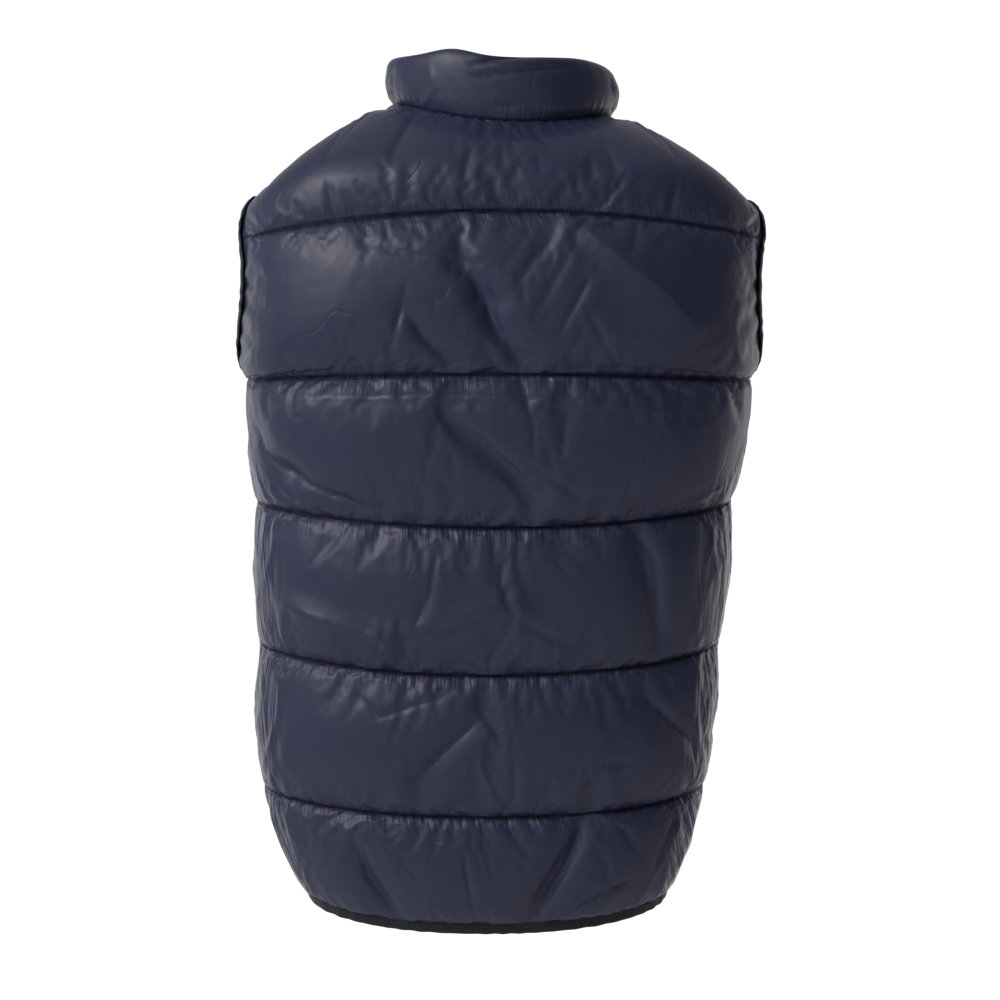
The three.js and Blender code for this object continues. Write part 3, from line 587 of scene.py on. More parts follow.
def add_node(owner, kind, inputs=None, **settings):
    """Adds a node. An input is a value, or the (node, output) that it is linked from."""
    tree = owner.node_tree
    node = tree.nodes.new(kind)
    for name, value in settings.items():
        setattr(node, name, value)
    for socket, value in (inputs or {}).items():
        if isinstance(value, tuple) and isinstance(value[0], bpy.types.Node):
            tree.links.new(value[0].outputs[value[1]], node.inputs[socket])
        else:
            node.inputs[socket].default_value = value
    return node


def new_material(name):
    material = bpy.data.materials.new(name)
    material.use_nodes = True
    material.node_tree.nodes.clear()
    return material


# Nylon taffeta, closely woven from fine filament yarn and pressed until it shines: a soft broad highlight,
# brighter at a grazing angle, over a navy dye that differs a little from place to place. Being thin and
# crisp it keeps sharp fine creases, and gathers into fine puckers beside every seam. The threads are
# 0.15 mm apart in the real cloth; they are drawn 1.2 mm apart, and very faint, so that they show at all.
NYLON_COLOUR, NYLON_WORN_COLOUR = "#2F3150", "#373958"
THREAD_SPACING, CRINKLE_SIZE, TONE_SIZE = 1.2 * MM, 16 * MM, 70 * MM
CREASE_SPACING, CREASE_HALF_WIDTH = 75 * MM, 1.2 * MM
PUCKER_SPACING, PUCKER_REACH = 4.5 * MM, 24 * MM
SIDE_WRINKLE, SIDE_REACH = 11 * MM, 95 * MM
CREASED_PATCH = 34 * MM         # the fine creases come in patches of about this size
# Painted shade: within this reach of a quilting line or seam the nylon's colour darkens towards this colour
# and its specular drops, for the shade deep in the narrow groove
SEAM_SHADE_REACH, SEAM_SHADE_COLOUR = 3.5 * MM, "#14141E"    # the cloth pinched into a seam catches little light
WAVES_A_METRE = 0.314           # a wave texture's scale for bands one metre apart, 2 pi / 20
nylon = new_material("Navy nylon taffeta")
cloth_place = add_node(nylon, "ShaderNodeUVMap", uv_map="cloth")
space_place = add_node(nylon, "ShaderNodeTexCoord")
tone = add_node(nylon, "ShaderNodeTexNoise", {
    "Vector": (space_place, "Object"), "Scale": 1 / TONE_SIZE, "Detail": 3.0, "Roughness": 0.5})
colour = add_node(nylon, "ShaderNodeMix", {
    0: (tone, "Fac"), 6: linear(NYLON_COLOUR), 7: linear(NYLON_WORN_COLOUR)}, data_type="RGBA")
crinkle = add_node(nylon, "ShaderNodeTexNoise", {
    "Vector": (space_place, "Object"), "Scale": 1 / CRINKLE_SIZE, "Detail": 2.0, "Roughness": 0.45,
    "Distortion": 0.4})
crease_field = add_node(nylon, "ShaderNodeTexNoise", {
    "Vector": (space_place, "Object"), "Scale": 1 / CREASE_SPACING, "Detail": 1.5, "Roughness": 0.4,
    "Distortion": 0.5})
from_crease = add_node(nylon, "ShaderNodeMath", {0: (crease_field, "Fac"), 1: 0.5}, operation="SUBTRACT")
beside_crease = add_node(nylon, "ShaderNodeMath", {0: (from_crease, "Value")}, operation="ABSOLUTE")
groove = add_node(nylon, "ShaderNodeMapRange", {
    "Value": (beside_crease, "Value"), "From Max": CREASE_HALF_WIDTH / CREASE_SPACING},
    interpolation_type="SMOOTHSTEP")
crease_place = add_node(nylon, "ShaderNodeTexNoise", {
    "Vector": (space_place, "Object"), "Scale": 1 / CREASED_PATCH, "Detail": 1.0})
creased_here = add_node(nylon, "ShaderNodeMapRange", {
    "Value": (crease_place, "Fac"), "From Min": 0.52, "From Max": 0.62})
fine_creases = add_node(nylon, "ShaderNodeMix", {
    0: (creased_here, "Result"), 2: 1.0, 3: (groove, "Result")}, data_type="FLOAT")
from_seam = add_node(nylon, "ShaderNodeAttribute", attribute_name="from_seam")
beside_seam = add_node(nylon, "ShaderNodeMapRange", {
    "Value": (from_seam, "Fac"), "From Max": PUCKER_REACH, "To Min": 1.0, "To Max": 0.0},
    interpolation_type="SMOOTHERSTEP")
drawn_out = add_node(nylon, "ShaderNodeVectorMath", {
    0: (cloth_place, "UV"), 1: (1.0, 0.14, 0.0)}, operation="MULTIPLY")
pucker = add_node(nylon, "ShaderNodeTexNoise", {
    "Vector": (drawn_out, "Vector"), "Scale": 1 / PUCKER_SPACING, "Detail": 2.0}, noise_dimensions="2D")
pucker_height = add_node(nylon, "ShaderNodeMath", {
    0: (pucker, "Fac"), 1: (beside_seam, "Result")}, operation="MULTIPLY")
from_side = add_node(nylon, "ShaderNodeAttribute", attribute_name="from_side")
beside_side = add_node(nylon, "ShaderNodeMapRange", {
    "Value": (from_side, "Fac"), "From Min": SIDE_REACH / 2, "From Max": SIDE_REACH, "To Min": 1.0,
    "To Max": 0.0}, interpolation_type="SMOOTHSTEP")
drawn_down = add_node(nylon, "ShaderNodeMapping", {
    "Vector": (cloth_place, "UV"), "Rotation": (0.0, 0.0, 0.16), "Scale": (1.0, 0.16, 1.0)})
side_wrinkle = add_node(nylon, "ShaderNodeTexNoise", {
    "Vector": (drawn_down, "Vector"), "Scale": 1 / SIDE_WRINKLE, "Detail": 2.0, "Roughness": 0.5,
    "Distortion": 0.9}, noise_dimensions="2D")
side_height = add_node(nylon, "ShaderNodeMath", {
    0: (side_wrinkle, "Fac"), 1: (beside_side, "Result")}, operation="MULTIPLY")
warp_threads, weft_threads = (
    add_node(nylon, "ShaderNodeTexWave", {
        "Vector": (cloth_place, "UV"), "Scale": WAVES_A_METRE / THREAD_SPACING, "Distortion": 0.0},
        bands_direction=way)
    for way in "XY")
threads = add_node(nylon, "ShaderNodeMath", {
    0: (warp_threads, "Fac"), 1: (weft_threads, "Fac")}, operation="MULTIPLY")
relief = {}
for height, strength, depth in (        # each is laid over the ones before it
        ((crinkle, "Fac"), 0.3, 1.3),
        ((fine_creases, "Result"), 0.3, 0.8),
        ((pucker_height, "Value"), 0.75, 1.5),
        ((side_height, "Value"), 0.9, 5.0),
        ((threads, "Value"), 0.12, 0.12)):
    raised = add_node(nylon, "ShaderNodeBump", {
        "Height": height, "Strength": strength, "Distance": depth * MM, **relief})
    relief = {"Normal": (raised, "Normal")}
gloss = add_node(nylon, "ShaderNodeMapRange", {
    "Value": (beside_side, "Result"), "To Min": 0.44, "To Max": 0.3})
# Painted shade in the seams: lower specular and a darker colour close to each line and seam
shine = add_node(nylon, "ShaderNodeMapRange", {
    "Value": (from_seam, "Fac"), "From Max": SEAM_SHADE_REACH, "To Min": 0.05, "To Max": 0.5})
pinched = add_node(nylon, "ShaderNodeMapRange", {
    "Value": (from_seam, "Fac"), "From Max": SEAM_SHADE_REACH, "To Min": 0.25, "To Max": 1.0})
seam_shaded_colour = add_node(nylon, "ShaderNodeMix", {
    0: (pinched, "Result"), 6: linear(SEAM_SHADE_COLOUR), 7: (colour, 2)}, data_type="RGBA")
nylon_finish = add_node(nylon, "ShaderNodeBsdfPrincipled", {
    "Base Color": (seam_shaded_colour, 2), "Roughness": (gloss, "Result"), "IOR": 1.53,
    "Specular IOR Level": (shine, "Result"), **relief,
    "Sheen Weight": 0.06, "Sheen Roughness": 0.35, "Sheen Tint": linear("#B9BEDA")})
add_node(nylon, "ShaderNodeOutputMaterial", {"Surface": (nylon_finish, "BSDF")})


def add_piece(name, mesh, material, body, nodes):
    piece = in_scene(name, mesh)
    mesh.materials.append(material)
    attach(piece, body)
    if nodes:
        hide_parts(*nodes)
    return piece


# Places up the body between which the side wrinkles end below the armholes, in form and in the material
UNDERARM_FADE, SIDE_LOOK_FADE = (3.7, 4.2), (3.0, 4.25)


def quilted_panel(name, node, grid, creases, seed):
    """One panel: the filled shell, its creases, the puckers along its lines and edges, and its wrinkles."""
    points, normals = grid["points"], grid["normals"]
    x, z = points[..., 0], points[..., 2]
    off = grid["thickness"].copy()
    start = points + normals * off[..., None]
    body = grid["filled"] ** 0.5
    along = lengths(points, 1)
    up_run = lengths(points, 0)
    from_line = np.empty(off.shape)
    for k in range(TOP_EDGE):
        inside = grid["channel"] == k
        low = up_run[k * ROWS_A_CHANNEL]
        high = up_run[(k + 1) * ROWS_A_CHANNEL]
        below, above = up_run - low, high - up_run
        puckers = gathers(np.abs(below), along, seed + 20 * k)
        if k < TOP_LINE:
            puckers = puckers + gathers(np.abs(above), along, seed + 20 * k + 10)
        off += np.where(inside, puckers * body, 0)
        from_line = np.where(inside, np.minimum(np.abs(below), np.abs(above)), from_line)
    edge_run = np.where(x > 3, up_run[:, :1], up_run[:, -1:])
    off += 0.9 * body * gathers(grid["from_side"], edge_run, seed + 200)
    below_arm = 1 - smooth_step(grid["up"], *UNDERARM_FADE)
    off += below_arm * body * side_wrinkles(grid["from_side"], edge_run, seed + 307)
    for depth, width, path in creases:
        off += np.clip(grid["filled"] * 1.6, 0, 1) * crease_height(x, z, depth, width, path)
    outer = points + normals * np.maximum(off, SEAM_WALL * 0.9)[..., None]
    outer += shell_wrinkles(name, grid, start)
    from_side = grid["from_side"] + 100 * smooth_step(grid["up"], *SIDE_LOOK_FADE)
    shell = shell_mesh(name, outer, points, from_line, from_side)
    add_piece(name, shell, nylon, "vest", [node])
    return outer


back_half = even_columns(BACK_COLUMNS // 2, 1)
back_grid = panel(1, np.repeat([1, -1], [BACK_COLUMNS // 2 + 1, BACK_COLUMNS // 2]),
                  np.concatenate([back_half, back_half[-2::-1]]))
back_outer = quilted_panel("quilted_back", "back", back_grid, BACK_CREASES, 100)
front_columns = even_columns(FRONT_COLUMNS, -1)
left_grid = panel(-1, 1, front_columns[::-1])
left_outer = quilted_panel("quilted_front_left", "front_left", left_grid, LEFT_CREASES, 500)
right_grid = panel(-1, -1, front_columns)
right_outer = quilted_panel("quilted_front_right", "front_right", right_grid, RIGHT_CREASES, 900)


# Collar
# The stand collar is a strip of the same nylon, padded more thinly than the body and sewn into the neck
# seam. Worn for a while, it stands a little higher on the left and sinks inwards on the right.

COLLAR_BACK_HEIGHT, COLLAR_SIDE_HEIGHT, COLLAR_FRONT_HEIGHT, COLLAR_TILT = 54, 44, 54, 4
COLLAR_LEAN, COLLAR_LOFT, COLLAR_RIGHT_LOFT, COLLAR_SLUMP = 1, 7, 10, 9
COLLAR_QUARTER = 64             # steps round each quarter of the neck
COLLAR_SECTION = np.array([     # out from the neck seam, share of the filling, share of the height
    [0, 0, 0], [0, 0, 0.94], [1.4, 0.1, 1], [2.6, 0.45, 0.985], [3, 0.85, 0.87], [3, 1, 0.65],
    [3, 0.96, 0.42], [3, 0.7, 0.2], [3, 0.3, 0.07], [3, 0, 0],
])
COLLAR_CREASES = [              # depth, width, then x, z of each point on the back of the collar
    (3.6, 2.8, [(27, 30), (10, 35), (-14, 37), (-30, 38)]),
    (3.2, 3.0, [(26, 20), (-13, 24), (-36, 28), (-64, 30)]),
    (1.8, 3.0, [(12, -5), (-16, -5)]),
    (1.5, 3.5, [(-36, -17), (-60, -13), (-84, -10)]),
    (2.4, 3, [(96, 4), (101, 18), (97, 34)]),
    (2.6, 3, [(-97, 26), (-103, 8), (-98, -10)]),
    (-1.4, 5, [(72, -6), (60, 12), (64, 32)]),
]
HUMP, HUMP_PLACE, HUMP_WIDTH = 6.5, 42, 24      # the top's rise on the left, its x and half its width
RIGHT_DROP = 4                  # how far the top falls at its right end
COLLAR_LIFT = 0.3               # how far above the neck seam the collar starts
COLLAR_SEAM_DEPTH = 1.6         # how far its foot goes down into the seam


def tube_mesh(name, rings, closed_path):
    """A closed surface through rings of points, whose ends are closed too unless the path is. Its UV map
    is the length along the path and round the section, in metres."""
    count, size = rings.shape[:2]
    index = np.arange(count * size).reshape(count, size)
    following = np.roll(index, -1, axis=0) if closed_path else index[1:]
    here = index if closed_path else index[:-1]
    quads = np.stack([here, np.roll(here, -1, 1), np.roll(following, -1, 1), following], -1).reshape(-1, 4)
    corners = rings.reshape(-1, 3)[quads]
    volume = (np.cross(corners[:, 0], corners[:, 1]) * corners[:, 2]).sum()
    volume += (np.cross(corners[:, 0], corners[:, 2]) * corners[:, 3]).sum()
    caps = [] if closed_path else [index[0, ::-1].tolist(), index[-1].tolist()]
    faces = quads.tolist() + caps
    if volume < 0:
        faces = [face[::-1] for face in faces]
    run = np.broadcast_to(lengths(rings.mean(axis=1, keepdims=True), 0), (count, size))
    return smooth_mesh(name, rings, faces, np.stack([run, lengths(rings, 1)], axis=-1).reshape(-1, 2))


INSIDE_STEPS, OUTSIDE_STEPS, MIDDLE_POINT = 12, 48, 40
collar_section = np.concatenate([
    cubic_through(COLLAR_SECTION[:2], np.linspace(0, 1, INSIDE_STEPS + 1)[:-1]),
    cubic_through(COLLAR_SECTION[1:], np.linspace(0, len(COLLAR_SECTION) - 2, OUTSIDE_STEPS + 1)),
    [[1.5, 0, 0]]])


def collar_rings(section):
    """The section carried round the neck seam, from the left front's edge round the back to the right
    front's: each ring lies out from the seam by out + filling * loft + lean, and up by its height. Gives
    the rings' points, their outward directions and how far their filling stands out."""
    rings = []
    for face, side, start, end in ((-1, 1, 1, 0), (1, 1, 0, 1), (1, -1, 1, 0), (-1, -1, 0, 1)):
        across = mix(NECK_SIDE, 1, np.linspace(start, end, COLLAR_QUARTER + 1))
        across = across if face == -1 and side == 1 else across[1:]
        angle = neck_angle(across, face)
        base, outward = neck_point(angle, face, side), neck_outward(angle, face, side)
        middle = COLLAR_BACK_HEIGHT if face > 0 else COLLAR_FRONT_HEIGHT
        height = mix(COLLAR_SIDE_HEIGHT, middle, np.sin(angle) ** 2) - side * COLLAR_TILT * np.cos(angle)
        x = base[:, 0]
        if face > 0:
            height = height + HUMP * np.exp(-((x - HUMP_PLACE) / HUMP_WIDTH) ** 2)
        height = height - RIGHT_DROP * smooth_step(-x, 55, 92) * np.cos(angle) ** 2
        right = np.cos(angle) ** 2 * (side < 0)
        from_zip = np.abs(x) - FRONT_OPENING / 2 if face < 0 else np.full(x.shape, float(ZIP_RISE))
        filling = mix(COLLAR_LOFT, COLLAR_RIGHT_LOFT, right) * rise(np.maximum(from_zip, 0), ZIP_RISE)
        out = (section[:, 0] + section[:, 1] * filling[:, None] + COLLAR_LEAN * section[:, 2]
               - COLLAR_SLUMP * right[:, None] * section[:, 2] ** 2)
        ring = base[:, None] + outward[:, None] * out[..., None]
        ring[..., 2] += COLLAR_LIFT + section[:, 2] * height[:, None]
        rings.append((ring, outward, filling))
    return (np.concatenate(part) for part in zip(*rings))


collar, collar_out, collar_filling = collar_rings(collar_section)
on_outside = smooth_step(collar_section[:, 1], 0.05, 0.5)
from_seam_line = np.maximum(collar[..., 2] - collar[:, :1, 2], 0)
from_top = np.maximum(collar[:, INSIDE_STEPS:INSIDE_STEPS + 1, 2] - collar[..., 2], 0)
round_run = np.broadcast_to(lengths(collar[:, MIDDLE_POINT:MIDDLE_POINT + 1], 0), from_top.shape)
lift = 0.75 * gathers(from_seam_line, round_run, 1300) + 0.5 * gathers(from_top, round_run, 1340)
waves = smooth_noise(round_run / 34 + from_seam_line / 47, 1360)
lift += 0.9 * waves * np.sin(np.pi * collar_section[:, 2])
for depth, width, path in COLLAR_CREASES:
    crease = crease_height(collar[..., 0], collar[..., 2], depth, width, path)
    lift += np.where(collar[..., 1] > 0, crease, 0)
lift *= on_outside * np.clip(collar_filling / COLLAR_LOFT, 0, 1)[:, None]
collar = collar + collar_out[:, None] * lift[..., None]
collar[:, [0, -2, -1], 2] -= COLLAR_SEAM_DEPTH
collar_mesh = tube_mesh("stand_collar", collar, False)
set_distances(collar_mesh, from_seam_line, np.full(from_seam_line.shape, FAR_OFF))
stand_collar = add_piece("stand_collar", collar_mesh, nylon, "vest", ["collar"])


# Bindings
# The armholes and the hem are bound with a tape knitted from polyester and elastane, folded over the raw
# edge of the panel and sewn through. It draws the edge in a little, so it lies in small ripples.

ARMHOLE_REACH, HEM_REACH = 6.5, 10.3    # how far each binding stands beyond the panel's edge
BINDING_LAP = 2.6                       # how far it laps onto the panel
BINDING_INSIDE, ARMHOLE_OUTSIDE, HEM_OUTSIDE = 1.1, 6.4, 4.6
TAPE_WALL, FLAT_STEPS, TURN_STEPS = 0.8, 4, 12
RIPPLE, RIPPLE_LENGTH = 0.35, 8.5
ARMHOLE_POINTS, HEM_POINTS = 420, 620

BINDING_COLOUR, BINDING_RIB_COLOUR = "#171825", "#1F2030"
BINDING_RIB = 1.0 * MM
binding_tape = new_material("Knitted elastane binding")
# A matt, dense knit with fine ribs along its length, 0.5 mm apart in the real tape and 1 mm apart here so
# that they show. Its dye is blacker than the nylon's.
tape_place = add_node(binding_tape, "ShaderNodeUVMap", uv_map="cloth")
ribs = add_node(binding_tape, "ShaderNodeTexWave", {
    "Vector": (tape_place, "UV"), "Scale": WAVES_A_METRE / BINDING_RIB, "Distortion": 0.4},
    bands_direction="Y")
rib_colour = add_node(binding_tape, "ShaderNodeMix", {
    0: (ribs, "Fac"), 6: linear(BINDING_COLOUR), 7: linear(BINDING_RIB_COLOUR)}, data_type="RGBA")
rib_bump = add_node(binding_tape, "ShaderNodeBump", {
    "Height": (ribs, "Fac"), "Strength": 0.5, "Distance": 0.15 * MM})
binding_finish = add_node(binding_tape, "ShaderNodeBsdfPrincipled", {
    "Base Color": (rib_colour, 2), "Roughness": 0.72, "Normal": (rib_bump, "Normal"),
    "Sheen Weight": 0.1, "Sheen Roughness": 0.5})
add_node(binding_tape, "ShaderNodeOutputMaterial", {"Surface": (binding_finish, "BSDF")})


def folded_tape(reach, high):
    """The section of a tape folded over an edge: its outer face from the panel's outside round to its
    inside, then its inner face back. Columns are beyond the edge and along the panel's normal."""
    low = -BINDING_INSIDE
    radius = (high - low) / 2
    turn = np.linspace(np.pi / 2, -np.pi / 2, TURN_STEPS + 1)

    def face(depth):
        bend = np.stack([reach - radius + (radius - depth) * np.cos(turn),
                         (low + high) / 2 + (radius - depth) * np.sin(turn)], axis=-1)
        flat = np.linspace(-BINDING_LAP, reach - radius, FLAT_STEPS + 1)[:-1]
        top = np.stack([flat, np.full(FLAT_STEPS, high - depth)], axis=-1)
        bottom = np.stack([flat[::-1], np.full(FLAT_STEPS, low + depth)], axis=-1)
        return np.concatenate([top, bend, bottom])

    return np.concatenate([face(0), face(TAPE_WALL)[::-1]])


def sampled(places, run, rows):
    """Points or directions at places along a running length."""
    return np.stack([np.interp(places, run, rows[:, k]) for k in range(3)], axis=-1)


def bind(name, path, normals, towards, reach, outside, closed, seed, node):
    """Carries the folded tape along a panel's edge, where towards is the way that it stands out at each
    point. Its ripple is a sine whose pace and height change along the edge."""
    along = np.roll(path, -1, 0) - np.roll(path, 1, 0) if closed else np.gradient(path, axis=0)
    along = unit(along)
    square = unit(normals - along * (normals * along).sum(-1, keepdims=True))
    away = np.cross(along, square)
    away *= np.sign((away * towards).sum(-1, keepdims=True))
    run = lengths(path[:, None], 0)[:, 0]
    total = run[-1] + (np.linalg.norm(path[0] - path[-1]) if closed else 0)
    waves = max(round(total / RIPPLE_LENGTH / 2), 1)
    phase = run / total * waves * 2 * np.pi
    ripple = RIPPLE * np.sin(phase + 1.4 * np.sin(phase / waves * 7 + seed)) * (
        0.6 + 0.4 * np.sin(phase / waves * 11 + 2 * seed))
    section = folded_tape(reach, outside)
    out = section[None, :, 0] + 0.5 * ripple[:, None]
    thick = section[None, :, 1] + ripple[:, None] * np.where(section[:, 1] > 1, 1, 0.4)
    rings = path[:, None] + away[:, None] * out[..., None] + square[:, None] * thick[..., None]
    piece = add_piece(name, tube_mesh(name, rings, closed), binding_tape, "vest", [node])
    return rings


def even_run(path, extra, count, closed):
    """A path and what goes with it, at even lengths along it."""
    if closed:
        path, extra = np.concatenate([path, path[:1]]), np.concatenate([extra, extra[:1]])
    run = lengths(path[:, None], 0)[:, 0]
    places = np.linspace(0, run[-1], count + 1)[:-1] if closed else np.linspace(0, run[-1], count)
    return sampled(places, run, path), sampled(places, run, extra)


between_lines = np.linspace(4, 5, 400)
underarm_place = np.interp(
    ARM_MIDDLE - ARM_HALF_HEIGHT, line_values(between_lines)["z_side"], between_lines)
rows = panel_rows()
armhole_rings = {}
for name, node, side, front_grid, back_column, front_column, seed in (
        ("bound_armhole_left", "armhole_binding_left", 1, left_grid, 0, -1, 3),
        ("bound_armhole_right", "armhole_binding_right", -1, right_grid, -1, 0, 5)):
    share = np.linspace(0, 1, 240)
    heights = np.where(share < 0.5, mix(underarm_place, 5, (2 * share) ** 2), 4 + 2 * share)
    ups, downs = heights, heights[::-1]
    edge_up = panel_point(0 * ups, ups, 1, side)
    edge_down = panel_point(0 * downs, downs, -1, side)
    normal_up = sampled(ups, rows, back_grid["normals"][:, back_column])
    normal_down = sampled(downs, rows, front_grid["normals"][:, front_column])
    edge = np.concatenate([edge_up, edge_down[1:-1]])
    edge_normals = np.concatenate([normal_up, normal_down[1:-1]])
    edge, edge_normals = even_run(edge, edge_normals, ARMHOLE_POINTS, True)
    armhole_rings[name] = bind(name, edge, edge_normals, edge.mean(axis=0) - edge, ARMHOLE_REACH,
                               ARMHOLE_OUTSIDE, True, seed, node)

hem_path, hem_normals = even_run(*(
    np.concatenate([left_grid[key][0], back_grid[key][0, 1:], right_grid[key][0, 1:]])
    for key in ("points", "normals")), HEM_POINTS, False)
downward = np.broadcast_to([0.0, 0.0, -1.0], hem_path.shape)
hem_rings = bind(
    "bound_hem", hem_path, hem_normals, downward, HEM_REACH, HEM_OUTSIDE, False, 8, "hem_binding")


# Pocket welts
# Each front has a hand pocket beside its side seam, between the fourth and fifth lines. Its mouth is
# finished with a welt, a folded strip of the nylon that is sewn down at both ends.

WELT_THICKNESS, WELT_LIFT = 2.2, 0.4
WELT_FROM, WELT_TO = 1.07, 1.93         # places up the front
WELT_NEAR, WELT_FAR = 0.025, 0.125      # places across the front
WELT_ROWS, WELT_COLUMNS = 61, 13


def welt(name, node, grid):
    """A strip that follows the front's own surface, thickest along its middle: two layers of points,
    lifted off it by a rounded profile."""
    rows = np.linspace(WELT_FROM, WELT_TO, WELT_ROWS)
    columns = np.linspace(WELT_NEAR, WELT_FAR, WELT_COLUMNS)
    all_rows, all_columns = grid["up"][:, 0], grid["across"][0]
    row_at = np.interp(rows, all_rows, np.arange(len(all_rows)))
    order = np.argsort(all_columns)
    column_at = np.interp(columns, all_columns[order], order.astype(float))
    r0, c0 = np.floor(row_at).astype(int), np.floor(column_at).astype(int)
    r0, c0 = np.minimum(r0, len(all_rows) - 2), np.minimum(c0, len(all_columns) - 2)
    rt, ct = (row_at - r0)[:, None, None], (column_at - c0)[None, :, None]

    def taken(field):
        """A field of the front's grid at the strip's points, in proportion between its four neighbours."""
        low = mix(field[np.ix_(r0, c0)], field[np.ix_(r0, c0 + 1)], ct)
        high = mix(field[np.ix_(r0 + 1, c0)], field[np.ix_(r0 + 1, c0 + 1)], ct)
        return mix(low, high, rt)

    surface = taken(grid["points"] + grid["normals"] * grid["thickness"][..., None])
    normals = unit(taken(grid["normals"]))
    across = np.linspace(-1, 1, WELT_COLUMNS)[None, :]
    round_over = WELT_LIFT + WELT_THICKNESS * np.sqrt(np.maximum(1 - across ** 6, 0.04))
    ripple = 0.25 * np.sin(rows * 46)[:, None] * (1 - across ** 2)
    top = surface + normals * (round_over + ripple)[..., None]
    bottom = surface + normals * WELT_LIFT
    rings = np.concatenate([top, bottom[:, ::-1]], axis=1)
    strip = tube_mesh(name, rings, False)
    far_off = np.full(rings.shape[:2], FAR_OFF)
    set_distances(strip, far_off, far_off)
    piece = add_piece(name, strip, nylon, "vest", [node])
    return top


left_welt = welt("welt_left", "pocket_welt_left", left_grid)
right_welt = welt("welt_right", "pocket_welt_right", right_grid)


# Zip
# A separating zip closes the front: two woven tapes sewn behind the fronts' edges, moulded plastic teeth,
# and a die-cast slider with a pull tab that hangs from its pin.

TAPE_GAP, TAPE_THICKNESS, TAPE_MIDDLE, TAPE_BEHIND = 0.45, 0.9, 0.5, 12
TOOTH_PITCH, TOOTH_LENGTH = 3.0, 1.9
TEETH_HALF_WIDTH, TEETH_INSIDE, TEETH_OUTSIDE = 3.0, 0.25, 2.75

zip_points = (left_grid["points"][:, 0] + right_grid["points"][:, -1]) / 2
zip_out = left_grid["normals"][:, 0] * [0, 1, 1]
collar_steps = np.linspace(0, 1, 25)[1:, None]
collar_zip = zip_points[-1] + collar_steps * [0, -COLLAR_LEAN, COLLAR_FRONT_HEIGHT]
zip_path = np.concatenate([zip_points, collar_zip])
zip_out = unit(np.concatenate([zip_out, np.broadcast_to([0.0, -1.0, 0.0], collar_zip.shape)]))

ZIP_TAPE_COLOUR = "#1B1C26"
HERRINGBONE = 1.6 * MM
zip_cloth = new_material("Woven polyester zip tape")
# A flat, hard-woven tape with a fine herringbone, matt and blacker than the shell.
zip_place = add_node(zip_cloth, "ShaderNodeUVMap", uv_map="cloth")
twill = add_node(zip_cloth, "ShaderNodeTexWave", {
    "Vector": (zip_place, "UV"), "Scale": WAVES_A_METRE / HERRINGBONE, "Distortion": 0.0},
    bands_direction="DIAGONAL")
twill_bump = add_node(zip_cloth, "ShaderNodeBump", {
    "Height": (twill, "Fac"), "Strength": 0.5, "Distance": 0.12 * MM})
zip_cloth_finish = add_node(zip_cloth, "ShaderNodeBsdfPrincipled", {
    "Base Color": linear(ZIP_TAPE_COLOUR), "Roughness": 0.85, "Normal": (twill_bump, "Normal")})
add_node(zip_cloth, "ShaderNodeOutputMaterial", {"Surface": (zip_cloth_finish, "BSDF")})

for name, node, side, grid, column in (("tape_left", "zip_tape_left", 1, left_grid, 0),
                                       ("tape_right", "zip_tape_right", -1, right_grid, -1)):
    middle_row = grid["points"][3 * ROWS_A_CHANNEL]
    from_edge = np.linalg.norm(middle_row - middle_row[column], axis=-1)
    behind = np.argmin(np.abs(from_edge - TAPE_BEHIND))
    hidden = grid["points"][:, behind] - grid["points"][:, column]
    shift = np.concatenate([hidden, np.broadcast_to(hidden[-1], collar_zip.shape)])
    edges = [[side * TAPE_MIDDLE, 0.0], [side * FRONT_OPENING / 4, 0.0], [side * FRONT_OPENING / 2, 0.0],
             [side * FRONT_OPENING / 2, 0.5], [side * FRONT_OPENING / 2, 1.0]]
    layers = [
        np.stack([zip_path + [x, 0, 0] + shift * share - zip_out * depth for x, share in edges], 1)
        for depth in (TAPE_GAP, TAPE_GAP + TAPE_THICKNESS)]
    rings = np.concatenate([layers[0], layers[1][:, ::-1]], axis=1)[::2]
    piece = add_piece(name, tube_mesh(name, rings, False), zip_cloth, "vest", [node])


BLOCK_POWER = 0.55


def rounded_blocks(name, centres, axes, sizes, around, stacked):
    """Many small rounded blocks in one mesh. Each is a superellipsoid: the sines and cosines of a sphere's
    points are raised to a power below 1, and scaled by its three half sizes. It has around by stacked
    faces, whose first and last rings close at poles."""
    turn = np.arange(around) * 2 * np.pi / around
    tilt = np.linspace(-np.pi / 2, np.pi / 2, stacked + 1)[1:-1]

    def squared(wave):
        return np.sign(wave) * np.abs(wave) ** BLOCK_POWER

    ring = np.stack([
        squared(np.cos(turn))[None] * squared(np.cos(tilt))[:, None],
        squared(np.sin(turn))[None] * squared(np.cos(tilt))[:, None],
        np.broadcast_to(squared(np.sin(tilt))[:, None], (len(tilt), around))], axis=-1).reshape(-1, 3)
    shape = np.concatenate([[[0, 0, -1]], ring, [[0, 0, 1]]])
    rows = np.arange(len(ring)).reshape(len(tilt), around) + 1
    quads = np.stack([rows[:-1], np.roll(rows[:-1], -1, 1), np.roll(rows[1:], -1, 1), rows[1:]], -1)
    top = len(shape) - 1
    first = np.stack([np.zeros(around, int), np.roll(rows[0], -1), rows[0]], -1)
    last = np.stack([np.full(around, top), rows[-1], np.roll(rows[-1], -1)], -1)
    points = centres[:, None] + np.einsum("vk,nk,nkc->nvc", shape, sizes, axes)
    offsets = np.arange(len(centres))[:, None, None] * len(shape)
    faces = (quads.reshape(-1, 4)[None] + offsets).reshape(-1, 4).tolist()
    faces += (np.concatenate([first, last])[None] + offsets).reshape(-1, 3).tolist()
    return smooth_mesh(name, points, faces)


TOOTH_COLOUR = "#16171C"
tooth_plastic = new_material("Moulded acetal zip teeth")
